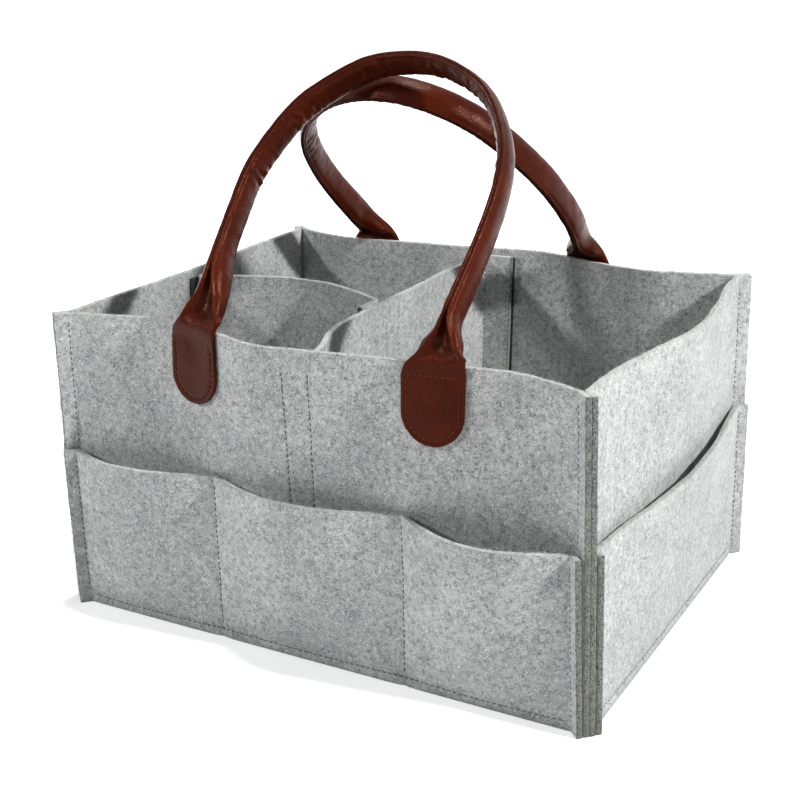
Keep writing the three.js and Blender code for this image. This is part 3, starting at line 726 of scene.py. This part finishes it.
def thread_material(name, colour, **finish):
    """Spun thread, with the relief of its plies."""
    thread, tree, place = new_material(name)
    ply = noise_node(tree, place, 2600.0, 1.0)["Fac"]
    finish_material(tree, Base_Color=(*colour, 1), Normal=relief_of(tree, ply, 0.4, 0.0002), **finish)
    return thread


grey_thread = thread_material("grey sewing thread", (0.07, 0.076, 0.083), Roughness=0.7, Sheen_Weight=0.2)


def sew(name, lines, material, pitch=stitch_pitch, length=stitch_length, width=stitch_width):
    """One piece with a row of stitches along each line; a line is its points and outward normals."""
    stitch = new_piece(name, lambda: bpy.ops.mesh.primitive_uv_sphere_add(
        segments=8, ring_count=6, radius=0.5))
    ball = np.array([v.co for v in stitch.data.vertices])
    faces = [list(f.vertices) for f in stitch.data.polygons]
    ball = np.stack([ball[:, 2] * length, ball[:, 0] * width, ball[:, 1] * width * 0.9], -1)
    ball[:, 2] -= 0.3 * (2 * ball[:, 0] / length) ** 2
    corners, joined = [], []
    for points, normals in lines:
        distance = distances_along(points)
        for d in np.arange(pitch / 2, distance[-1] - pitch / 3, pitch):
            at, ahead, behind = read_at([d, d + 0.5, d - 0.5], distance, points)
            along = (ahead - behind) / np.linalg.norm(ahead - behind)
            out = read_at(d, distance, normals)
            out -= along * out.dot(along)
            out /= np.linalg.norm(out)
            joined += [[i + len(corners) * len(ball) for i in f] for f in faces]
            corners.append(at + ball @ np.stack([along, np.cross(out, along), out]))
    mesh = bpy.data.meshes.new(name)
    mesh.from_pydata((np.concatenate(corners) * 0.001).tolist(), [], joined)
    mesh.shade_smooth()
    stitch.data = mesh
    mesh.materials.append(material)
    return stitch


def felt_line(side, layer, s, z, lift, inner=False):
    place, normal = felt_point(side, layer, s, z, lift=lift)
    return place, -normal if inner else normal


surface = felt_thickness / 2
# How far the rows sink into the face of the felt, and how far those in the corners stand off it
base_sink, pocket_sink, strip_sink, corner_rise = 0.5, 0.35, 0.3, 0.15
for side_name, side in sides.items():
    edge = corner_along(side, 1, base_stitch_height)
    row = felt_line(side, 1, np.arange(-edge + 2, edge - 1.9, 1.6), base_stitch_height,
                    surface - base_sink - base_quilting)
    base_seam = sew(side_name + "_base_seam", [row], grey_thread)
    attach(base_seam, "caddy_body")
    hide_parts(side_name + "_base_seam_thread")
    for hand, sign in (("left", -1), ("right", 1)):
        low = np.arange(8.0, pocket_height - 2, 2.0)
        high = np.arange(pocket_height + 3, wall_height - 2, 2.0)
        pocket_crook = sign * (corner_along(side, 1, low) + 1.5)
        wall_crook = sign * (corner_along(side, 0, high) + 1.5)
        corner = sew(f"{side_name}_{hand}_corner_seam",
                     [felt_line(side, 1, pocket_crook, low, surface + corner_rise),
                      felt_line(side, 0, wall_crook, high, surface + corner_rise)], grey_thread)
        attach(corner, "caddy_body")
        if side["long"]:
            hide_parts(f"{side_name}_{hand}_corner_seam_thread")
        if side["long"]:
            seam_line = felt_line(side, 1, sign * pocket_seam_offset, low,
                                  surface - pocket_sink - pocket_quilting)
            pocket_seam = sew(f"{side_name}_{hand}_pocket_seam", [seam_line], grey_thread)
            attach(pocket_seam, "caddy_body")
            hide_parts(f"{side_name}_{hand}_pocket_seam_thread")

strip_rows = np.arange(strip_bottom + 2, hook_top - 1, 2.0)
# Outside, the rows deep inside the pockets can't be seen and are left out
outside_rows = strip_rows[strip_rows > pocket_height - 15]
for side_name, middle in strip_middles.items():
    side = sides[side_name]
    lines = []
    for at in (middle - strip_seam, middle + strip_seam):
        lines.append(felt_line(side, 0, at, outside_rows, surface - strip_sink))
        lines.append(felt_line(side, 0, at, strip_rows, 0.2 - loop_offset - strip_thickness / 2, inner=True))
    wall_rows = sew(side_name + "_strip_seams", lines, grey_thread)
    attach(wall_rows, "caddy_body")

for side_name, divider_name, middle in flaps:
    body = divider_name + "_set"
    # The left flap hangs upright below its place at the wall's top edge
    read_height = wall_height if side_name == "left" else strip_rows
    lines = []
    for at in (middle - strip_seam, middle + strip_seam):
        points, out = felt_line(sides[side_name], 0, np.full(len(strip_rows), at), read_height,
                                0.1 - flap_offset - surface, inner=True)
        points[:, 2] = strip_rows
        if side_name == "left":
            out[:] = (1, 0, 0)
        lines.append((points, out))
    flap_rows = sew(side_name + "_flap_seams", lines, grey_thread)
    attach(flap_rows, body)

divider_seams = [
    ("divider_strip_seams", "long_divider_set", divider_strip_y, long_divider_x + surface - 0.1, 1.0),
    ("right_flap_seams", "cross_divider_set", right_flap_y,
     long_divider_x - flap_offset - surface + 0.1, -1.0),
]
for name, body, middle, x, direction in divider_seams:
    lines = []
    for y in (middle - strip_seam, middle + strip_seam):
        row = np.array([(x, y, z) for z in strip_rows])
        lines.append((row, np.tile([direction, 0.0, 0.0], (len(row), 1))))
    rows = sew(name, lines, grey_thread)
    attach(rows, body)


# Carrying handles: one piece of glossy brown leather each. It starts as a flat tab sewn on the wall,
# narrows over a creased neck and is then rolled round a soft core, its two long edges turned up to
# a lipped seam along the front.
tab_width, tab_drop, tab_rise, tab_thickness = 34.0, 42.0, 1.0, 2.4
neck_thickness, neck_length = 3.6, 64.0
grip_width, grip_thickness = 17.5, 7.5
tab_offset = felt_thickness / 2 + 0.5 + tab_thickness / 2
hinge_height = wall_height + tab_rise + neck_thickness / 2 + piece_gap
front_path = [
    (-1, 0), (-0.95, 0.046), (-0.947, 0.13), (-0.988, 0.25), (-1.01, 0.4), (-1.013, 0.54), (-0.963, 0.64),
    (-0.807, 0.8), (-0.585, 0.9), (-0.332, 0.973), (-0.034, 0.998), (0.21, 0.993), (0.465, 0.956),
    (0.709, 0.89), (0.882, 0.8), (1.015, 0.69), (1.075, 0.57), (1.085, 0.43), (1.064, 0.28),
    (1.038, 0.12), (1.044, 0.046), (1, 0),
]
back_path = [
    (-1, 0), (-1.027, 0.07), (-1.063, 0.165), (-1.12, 0.32), (-1.137, 0.48), (-1.092, 0.635),
    (-1.001, 0.74), (-0.819, 0.85), (-0.55, 0.945), (-0.292, 0.99), (-0.089, 1), (0.124, 0.987),
    (0.367, 0.935), (0.587, 0.85), (0.756, 0.735), (0.956, 0.513), (1.04, 0.3), (1.045, 0.19),
    (1.02, 0.1), (1, 0),
]
# Width and depth of the strap at distances past its hinge: the left neck of the front handle narrows
# more slowly than the others
slow_neck = {
    "width": [(-9, 34), (-4, 32), (0, 28.5), (10, 22.5), (20, 18.5), (30, 15), (40, 11.5), (52, 8.8),
              (64, 8)],
    "depth": [(-9, 2.4), (0, 3.6), (8, 9), (18, 15.5), (28, 19), (40, 18.8), (56, 17.5), (64, 17.5)],
    "closed": 36.0,
}
quick_neck = {
    "width": [(-9, 34), (-4, 32), (0, 28.5), (10, 19.5), (20, 11.5), (26, 9.2), (36, 9.5), (50, 8.8),
              (64, 8)],
    "depth": [(-9, 2.4), (0, 3.6), (7, 9), (15, 14.5), (23, 17.5), (36, 18), (50, 17.5), (64, 17.5)],
    "closed": 26.0,
}
handles = {
    "front": {"side": sides["front"], "facing": 1, "shift": 2.0, "spacing": 144.5, "lean": 42.5,
              "height": 173.7, "path": front_path, "necks": (slow_neck, quick_neck), "sway": 1.0},
    "back": {"side": sides["back"], "facing": -1, "shift": -16.5, "spacing": 150.0, "lean": 45.0,
             "height": 159.7, "path": back_path, "necks": (quick_neck, quick_neck), "sway": 0.0},
}
ring_count = 96
# Over this length on each side of its hinge the strap leaves the wall
turn_reach = 9.0

# Leather: fine grain, pores and slow darkening, shared by tabs and grips
grain, grain_in, grain_out = shader_group(
    "leather grain",
    [("Vector", "NodeSocketVector", None), ("Grain Scale", "NodeSocketFloat", 900.0)],
    [("Height", "NodeSocketFloat"), ("Mottle", "NodeSocketFloat")],
)
skin_place = grain_in.outputs["Vector"]
drawn = add_node(grain, "ShaderNodeVectorMath", {"operation": "SCALE"},
                 _0=noise_node(grain, skin_place, 420.0, 1.0)["Color"], Scale=0.0012)
stretched = add_node(grain, "ShaderNodeVectorMath", {"operation": "ADD"}, _0=skin_place, _1=drawn.outputs[0])
cells = add_node(grain, "ShaderNodeTexVoronoi", {"feature": "DISTANCE_TO_EDGE"},
                 Vector=stretched.outputs[0], Scale=grain_in.outputs["Grain Scale"])
pebbles = map_range(grain, cells.outputs["Distance"], 0.0, 0.32)
pores = noise_node(grain, skin_place, 520.0, 5.0)["Fac"]
mottle = noise_node(grain, skin_place, 34.0, 4.0)["Fac"]
grain_height = math_node(grain, "ADD", math_node(grain, "MULTIPLY", pebbles, 0.35), pores)
grain.links.new(grain_height, grain_out.inputs["Height"])
grain.links.new(map_range(grain, mottle, 0.3, 0.7), grain_out.inputs["Mottle"])

leather, tree, place = new_material("glossy brown leather")
skin = add_node(tree, "ShaderNodeGroup", {"node_tree": grain}, Vector=place, Grain_Scale=1050.0).outputs
crease_shade_mask = add_node(tree, "ShaderNodeAttribute", {"attribute_name": "crease_shade"}).outputs["Fac"]
tone = mix_colours(tree, skin["Mottle"], (0.040, 0.0046, 0.0013), (0.078, 0.0098, 0.0027))
valleys = map_range(tree, skin["Height"], 0.78, 0.45, 0.0, 0.6)
tone = mix_colours(tree, valleys, tone, (0.018, 0.0024, 0.0009))
# Painted shade: the leather is darkened in the seam groove, the valleys of the wrinkles and the hollow of
# each neck
tone = mix_colours(tree, math_node(tree, "MULTIPLY", crease_shade_mask, 0.75), tone, (0.014, 0.0025, 0.001))
finish_material(tree, Base_Color=tone, Roughness=map_range(tree, skin["Height"], 0.4, 0.9, 0.28, 0.2),
                Normal=relief_of(tree, skin["Height"], 0.4, 0.0003),
                Specular_IOR_Level=0.14, Specular_Tint=(1, 0.45, 0.32, 1))


def ease(x, low, high):
    t = np.clip((np.asarray(x, float) - low) / (high - low), 0, 1)
    return t * t * (3 - 2 * t)


def through_points(points, per_span=24):
    """Smooth curve through points, spaced by the root of their distances, as dense points."""
    p = np.vstack([2 * points[0] - points[1], points, 2 * points[-1] - points[-2]])
    curve = []
    for k in range(1, len(p) - 2):
        gaps = [max(np.linalg.norm(p[k + i] - p[k + i - 1]) ** 0.5, 1e-6) for i in (0, 1, 2)]
        m1 = ((p[k] - p[k - 1]) / gaps[0] - (p[k + 1] - p[k - 1]) / (gaps[0] + gaps[1])
              + (p[k + 1] - p[k]) / gaps[1]) * gaps[1]
        m2 = ((p[k + 1] - p[k]) / gaps[1] - (p[k + 2] - p[k]) / (gaps[1] + gaps[2])
              + (p[k + 2] - p[k + 1]) / gaps[2]) * gaps[1]
        t = np.linspace(0, 1, per_span, endpoint=False)[:, None]
        curve.append((2 * t ** 3 - 3 * t ** 2 + 1) * p[k] + (t ** 3 - 2 * t ** 2 + t) * m1
                     + (3 * t ** 2 - 2 * t ** 3) * p[k + 1] + (t ** 3 - t ** 2) * m2)
    return np.vstack([*curve, p[-2][None]])


def strap_ring(a, b, square):
    """Even points round a rounded outline, from the middle of its seam side, with its normals."""
    turn = np.linspace(0, 2 * math.pi, 1441)
    sine, cosine = np.sin(turn), np.cos(turn)
    outline = np.stack([a * np.sign(sine) * np.abs(sine) ** (2 / square),
                        b * np.sign(cosine) * np.abs(cosine) ** (2 / square)], -1)
    distance = distances_along(outline)
    s = np.arange(ring_count) / ring_count * distance[-1]
    ring = read_at(s, distance, outline)
    run = np.roll(ring, -1, 0) - np.roll(ring, 1, 0)
    run /= np.linalg.norm(run, axis=1)[:, None]
    around = np.where(s < distance[-1] / 2, s, s - distance[-1])
    return ring, np.stack([-run[:, 1], run[:, 0]], -1), around


def neck_size(neck, size, d):
    return smooth_table(neck[size], np.array([min(d, neck_length)]))[0]


def strap_shape(neck, d, run, curl, seed):
    """A ring of the strap at a distance past its hinge: neck ridges, seam lips, groove and wrinkles, and the
    painted shade of its groove, wrinkle valleys and hollow.
    """
    a, b = neck_size(neck, "width", d) / 2, neck_size(neck, "depth", d) / 2
    closed = neck["closed"]
    ring, outward, around = strap_ring(a, b, blend_of(7.0, 2.1, ease(d, -2, 18)))
    ridge_place = 1.2 + (0.9 * a - 0.6) * (1 - ease(d, -5, closed))
    ridge_height = 1.0 * ease(d, -6, 6) * blend_of(1.0, 0.7, ease(d, closed, closed + 12))
    trough = 5.0 * ease(d, -2, 10) * (1 - ease(d, closed * 0.55, closed + 3))
    front_side = ease(ring[:, 1], -0.3 * b, 0.1 * b)
    ridges = ridge_height * np.exp(-((np.abs(around) - ridge_place) / 0.85) ** 2) * front_side
    hollow = trough * np.clip(1 - (around / max(ridge_place, 0.1)) ** 2, 0, 1) * front_side
    groove = 0.7 * ease(d, closed - 8, closed + 6) * np.exp(-(around / 0.45) ** 2)
    folds = np.array([noise.noise((run / 2.6, w * 0.1, seed))
                      + 0.4 * noise.noise((run / 1.2, w * 0.2, seed + 4)) for w in around])
    inner = np.clip(ring[:, 0] / a, 0, 1) * ease(d, 20, 45)
    slack = np.array([noise.noise((run / 7.0, w * 0.14, seed + 9)) for w in around])
    loose = 0.2 + 0.25 * ease(d, -7, 2) * (1 - ease(d, 16, 36))
    shift = ridges - hollow - groove + curl * inner * folds + loose * slack * ease(d, -7, 3)
    # Painted shade for the colour: darkest in the seam groove, then in the wrinkle valleys and the neck's
    # hollow
    crease_shade = np.clip(1.3 * groove + 0.9 * np.clip(-curl * inner * folds, 0, 1) + 0.12 * hollow, 0, 1)
    return ring + outward * shift[:, None], crease_shade


def wall_row(handle, middle, direction, z, ring):
    """A ring laid against the wall, its seam side to the front of the caddy."""
    along = middle + handle["facing"] * direction * ring[:, 0]
    return felt_point(handle["side"], 0, along, z, lift=tab_offset + handle["facing"] * ring[:, 1])[0]


def tab_rows(handle, middle, direction):
    """Rows of a sewn tab, from its round tip up to where it leaves the wall."""
    radius, bottom = tab_width / 2, wall_height - tab_drop
    turns = np.concatenate([np.linspace(0.04, 0.3, 8)[:-1], np.linspace(0.3, math.pi / 2, 18)])
    sizes = [(bottom + radius * (1 - math.cos(t)), radius * math.sin(t)) for t in turns]
    sizes += [(z, radius) for z in spread(bottom + radius, hinge_height - turn_reach, 1.0)[1:-1]]
    rows = []
    for z, half in sizes:
        thin = blend_of(0.4, 1.0, float(ease(half, 0, 6)))
        ring, outward, _ = strap_ring(half, tab_thickness / 2 * thin, 7.0)
        below = max(bottom + radius - z, 0.0)
        inset = radius - np.hypot(ring[:, 0], below)
        outer_side = handle["facing"] * ring[:, 1] > 0
        sunk = 0.35 * np.exp(-((inset - tab_stitch_inset) / 0.8) ** 2)
        sunk += 0.3 * np.exp(-((z - tab_top_row) / 0.9) ** 2) * (inset > 1.5)
        puckers = 0.25 * ease(z, 158, 172) * np.array(
            [noise.noise((w / 4.0, z / 1.9, 5 * direction + handle["shift"])) for w in ring[:, 0]])
        ring = ring + outward * (outer_side * (puckers - sunk))[:, None]
        rows.append(wall_row(handle, middle, direction, z, ring))
    return rows


def skin_over(name, rows):
    """An open skin over a run of rings: a grid bent round, its first column repeated at the end and each end
    row drawn in close to its middle, ready for sew_up.
    """
    rows = np.array(rows)
    ends = [r.mean(0) + (r - r.mean(0)) * 0.05 for r in (rows[0], rows[-1])]
    rows = np.concatenate([ends[0][None], rows, ends[1][None]])
    count, columns = rows.shape[:2]
    closed = np.concatenate([rows, rows[:, :1]], 1)
    piece = new_piece(name, lambda: bpy.ops.mesh.primitive_grid_add(
        x_subdivisions=columns, y_subdivisions=count - 1, size=1))
    piece.data.vertices.foreach_set("co", (closed.reshape(-1, 3) * 0.001).ravel())
    return piece


def sew_up(piece):
    bpy.context.view_layer.objects.active = piece
    bpy.ops.object.mode_set(mode="EDIT")
    bpy.ops.mesh.select_all(action="SELECT")
    bpy.ops.mesh.remove_doubles(threshold=0.000004)
    bpy.ops.mesh.select_all(action="DESELECT")
    bpy.ops.mesh.select_non_manifold()
    bpy.ops.mesh.edge_face_add()
    face_outwards()
    piece.data.shade_smooth()


tab_stitch_inset, tab_top_row = 3.0, 174.5
for seed, (handle_name, handle) in enumerate(handles.items()):
    facing, lean, side = handle["facing"], math.radians(handle["lean"]), handle["side"]
    half_spacing = handle["spacing"] / 2
    up = np.array([0, facing * math.sin(lean), math.cos(lean)])
    seam = np.array([0, -math.cos(lean), facing * math.sin(lean)])
    middles = [facing * (handle["shift"] + sign * half_spacing) for sign in (-1, 1)]
    bows = bow_of(side, np.array(middles) / body_width, np.array([wall_height] * 2))
    reach = side_reach(side, wall_height)[1] + bows.mean() + tab_offset
    origin = np.array([handle["shift"], -facing * reach, hinge_height])
    knots = np.array([origin + np.array([x * half_spacing, 0, 0]) + up * y * handle["height"]
                      for x, y in handle["path"]])
    curve = through_points(knots)
    distance = distances_along(curve)
    total = distance[-1]
    places = np.concatenate([
        spread(-turn_reach, 40, 0.8), spread(40, total - 40, 1.4)[1:-1],
        total - spread(-turn_reach, 40, 0.8)[::-1],
    ])

    def curve_at(d):
        return read_at(d, distance, curve) + up * (min(d, 0.0) - max(d - total, 0.0))

    grip_rows, crease_shades, outer_rows = [], [], []
    for run in places:
        d = min(run, total - run)
        right_leg = run > total / 2
        ahead = curve_at(run + 3) - curve_at(run - 3)
        ahead /= np.linalg.norm(ahead)
        steady = up * (-1 if right_leg else 1)
        tangent = blend_of(steady, ahead, float(ease(d, 0, 16)))
        tangent /= np.linalg.norm(tangent)
        bend = np.linalg.norm(curve_at(run + 6) - 2 * curve_at(run) + curve_at(run - 6)) / 36
        inward = np.cross(tangent, seam)
        inward /= np.linalg.norm(inward)
        curl = 0.15 + 0.9 * float(ease(bend, 0.005, 0.014))
        neck = handle["necks"][int(right_leg)]
        ring, crease_shade = strap_shape(neck, d, run, curl, 3 + 9 * seed)
        sway = handle["sway"] * (tab_width - neck_size(neck, "width", d)) / 2 * (1 - float(ease(d, 0, 9)))
        row = curve_at(run) + ring[:, :1] * inward + ring[:, 1:] * seam + np.array([sway, 0, 0])
        if d < turn_reach:
            flat_row = wall_row(handle, middles[int(right_leg)] + sway, -1 if right_leg else 1,
                                hinge_height + d, ring)
            row = blend_of(flat_row, row, float(ease(d, -turn_reach, turn_reach)))
        grip_rows.append(row)
        crease_shades.append(crease_shade)
        outer_rows.append((row, inward, seam, d))

    rows = tab_rows(handle, middles[0], 1) + grip_rows + tab_rows(handle, middles[1], -1)[::-1]
    before = 1 + (len(rows) - len(grip_rows)) // 2
    piece = skin_over(handle_name + "_leather_handle", rows)
    # The painted shade of the grip's groove, wrinkles and hollows goes on the leather as a point attribute;
    # the tabs get none
    crease_shade_rows = np.zeros((len(rows) + 2, ring_count + 1), np.float32)
    crease_shade_rows[before:before + len(crease_shades), :-1] = np.array(crease_shades)
    crease_shade_rows[:, -1] = crease_shade_rows[:, 0]
    mask = piece.data.attributes.new("crease_shade", "FLOAT", "POINT")
    mask.data.foreach_set("value", crease_shade_rows.ravel())
    sew_up(piece)
    piece.data.materials.append(leather)
    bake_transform(piece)
    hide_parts(handle_name + "_handle_leather", handle_name + "_handle_left_tab",
                handle_name + "_handle_right_tab")
    handle["middles"], handle["outer_rows"] = middles, outer_rows


# Fillers: a loosely spun white cotton cord that keeps each grip round. It ends short of the necks
# and is only seen where the leather seam is opened.
cotton, tree, place = new_material("cotton filler cord")
lint = noise_node(tree, place, 900.0, 4.0)["Fac"]
finish_material(tree, Base_Color=(0.68, 0.65, 0.58, 1), Roughness=0.95,
                Normal=relief_of(tree, lint, 0.5, 0.0004))
filler_start, sleeve_wall = 31.0, 1.7
filler_half_thickness = grip_thickness / 2 - sleeve_wall
filler_half_width = grip_width / 2 - sleeve_wall
turn = np.linspace(0, 2 * math.pi, 36, endpoint=False)
for handle_name, handle in handles.items():
    rows = []
    for row, inward, seam, d in handle["outer_rows"][::2]:
        if d < filler_start:
            continue
        centre = row.mean(0)
        twist = 0.94 + 0.06 * np.cos(3 * turn + len(rows) * 0.35)
        rows.append(centre + (filler_half_thickness * np.cos(turn) * twist)[:, None] * inward
                    + (filler_half_width * np.sin(turn) * twist)[:, None] * seam)
    filler = skin_over(handle_name + "_filler_cord", rows)
    sew_up(filler)
    filler.data.materials.append(cotton)
    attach(filler, handle_name + "_handle")
    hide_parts(handle_name + "_handle_core")


# Stitching of the handles: waxed brown thread round each tab, with a row across its top.
brown_thread = thread_material("waxed brown thread", (0.10, 0.022, 0.009), Roughness=0.6,
                               Specular_IOR_Level=0.1)

radius = tab_width / 2 - tab_stitch_inset
low_centre = wall_height - tab_drop + tab_width / 2
bend_turns = np.linspace(-math.pi / 2, math.pi / 2, 25)
for handle_name, handle in handles.items():
    side = handle["side"]
    lift = tab_offset + tab_thickness / 2
    for hand, middle in zip(("left", "right"), handle["middles"]):
        straight = np.arange(tab_top_row - 3, low_centre, -2.0)
        loop_along = np.concatenate([np.full(len(straight), -radius), radius * np.sin(bend_turns),
                                     np.full(len(straight), radius)])
        loop_z = np.concatenate([straight, low_centre - radius * np.cos(bend_turns), straight[::-1]])
        top_along = np.linspace(-radius, radius, 15)
        stitches = sew(f"{handle_name}_{hand}_tab_stitches",
                       [felt_line(side, 0, middle + loop_along, loop_z, lift),
                        felt_line(side, 0, middle + top_along, tab_top_row, lift)],
                       brown_thread, pitch=3.0, length=2.3, width=0.7)
        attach(stitches, "caddy_body")
        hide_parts(f"{handle_name}_handle_{hand}_tab_thread")


# Loose fibres: short curled ends of wool and polyester that the knife left standing along the cut edges of
# the felt, on the tops and ends of walls and pockets away from the tabs and on the middle of each divider's
# top. They lie close to the edge and rise about a millimetre over it.
loose, tree, place = new_material("loose felt fibres")
batch = noise_node(tree, place, 700.0, 1.0)["Fac"]
tone = mix_colours(tree, map_range(tree, batch, 0.45, 0.66), (0.60, 0.61, 0.57), (0.12, 0.125, 0.11))
finish_material(tree, Base_Color=tone, Roughness=0.9, Specular_IOR_Level=0.1)


def loose_fibres(name, body, edges, seed, per_mm=1.7, width=0.13):
    """One piece with fine curled fibres along cut edges: points, the way out and across the edge."""
    chance = np.random.default_rng(seed)
    tubes = []
    for points, outs, acrosses in edges:
        distance = distances_along(points)
        count = int(distance[-1] * per_mm)
        at = chance.uniform(1, distance[-1] - 1, count)
        base, out, across = (read_at(at, distance, table) for table in (points, outs, acrosses))
        along = np.cross(out, across) * chance.choice([-1, 1], count)[:, None]
        rise = chance.uniform(0.1, 0.6, count)[:, None]
        side_step = chance.uniform(-0.35, 0.35, count)[:, None]
        base = base + across * chance.uniform(-1.25, 1.25, count)[:, None] - out * 0.25
        reach = chance.uniform(1.0, 3.2, count)[:, None]
        curl = chance.uniform(-0.5, 0.5, count)[:, None]
        rings = []
        for u, thick in ((0.0, 1.0), (0.35, 1.0), (0.7, 0.8), (1.0, 0.4)):
            spine = base + reach * (along * u + out * (rise * u + 0.25 * u * (1 - u))
                                    + across * (side_step * u + curl * u * u))
            rings += [spine + 0.5 * width * thick * (math.cos(turn) * out + math.sin(turn) * across)
                      for turn in (0.0, 2.09, 4.19)]
        tubes.append(np.stack(rings, 1))
    corners = np.concatenate(tubes)
    skin = []
    for first in (0, 3, 6):
        for k, following in ((0, 1), (1, 2), (2, 0)):
            skin.append((first + k, first + following, first + 3 + following, first + 3 + k))
    skin += [(2, 1, 0), (9, 10, 11)]
    fibre = new_piece(name, lambda: bpy.ops.mesh.primitive_cylinder_add(vertices=3, radius=0.5, depth=1))
    mesh = bpy.data.meshes.new(name)
    mesh.from_pydata((corners.reshape(-1, 3) * 0.001).tolist(), [],
                     [[12 * f + i for i in face] for f in range(len(corners)) for face in skin])
    fibre.data = mesh
    bpy.context.view_layer.objects.active = fibre
    bpy.ops.object.mode_set(mode="EDIT")
    face_outwards()
    mesh.shade_smooth()
    mesh.materials.append(loose)
    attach(fibre, body)


tab_clearance = 22
edges = []
for side_name, side in sides.items():
    taken = [m for handle in handles.values() if handle["side"] is side for m in handle["middles"]]
    for layer, top in ((0, wall_height), (1, pocket_height)):
        reach = corner_along(side, layer, top)
        tab_edges = [m + d for m in sorted(taken) for d in (-tab_clearance, tab_clearance)]
        stops = [-reach, *(tab_edges if layer == 0 else []), reach]
        for start, end in zip(stops[::2], stops[1::2]):
            at = np.arange(start, end, 2.0)
            points, across = felt_point(side, layer, at, top)
            edges.append((points, np.tile([0.0, 0.0, 1.0], (len(at), 1)), across))
        z = np.arange(3.0, top - 1, 2.0)
        for sign in (-1, 1):
            tip = sign * (corner_along(side, layer, z) + flange_length(layer))
            points, across = felt_point(side, layer, tip, z)
            behind, _ = felt_point(side, layer, tip - sign * 1.0, z)
            edges.append((points, points - behind, across))
loose_fibres("body_edge_fibres", "caddy_body", edges, 5)
for seed, (name, node, body, line_at, count) in enumerate(divider_lines):
    points, across = standing_sheet(line_at, divider_rows[-1:], count)
    middle = slice(count // 5, -count // 5)
    upwards = np.tile([0.0, 0.0, 1.0], (count, 1))
    loose_fibres(name + "_edge_fibres", body, [(points[0, middle], upwards[middle], across[0, middle])],
                 11 + seed)
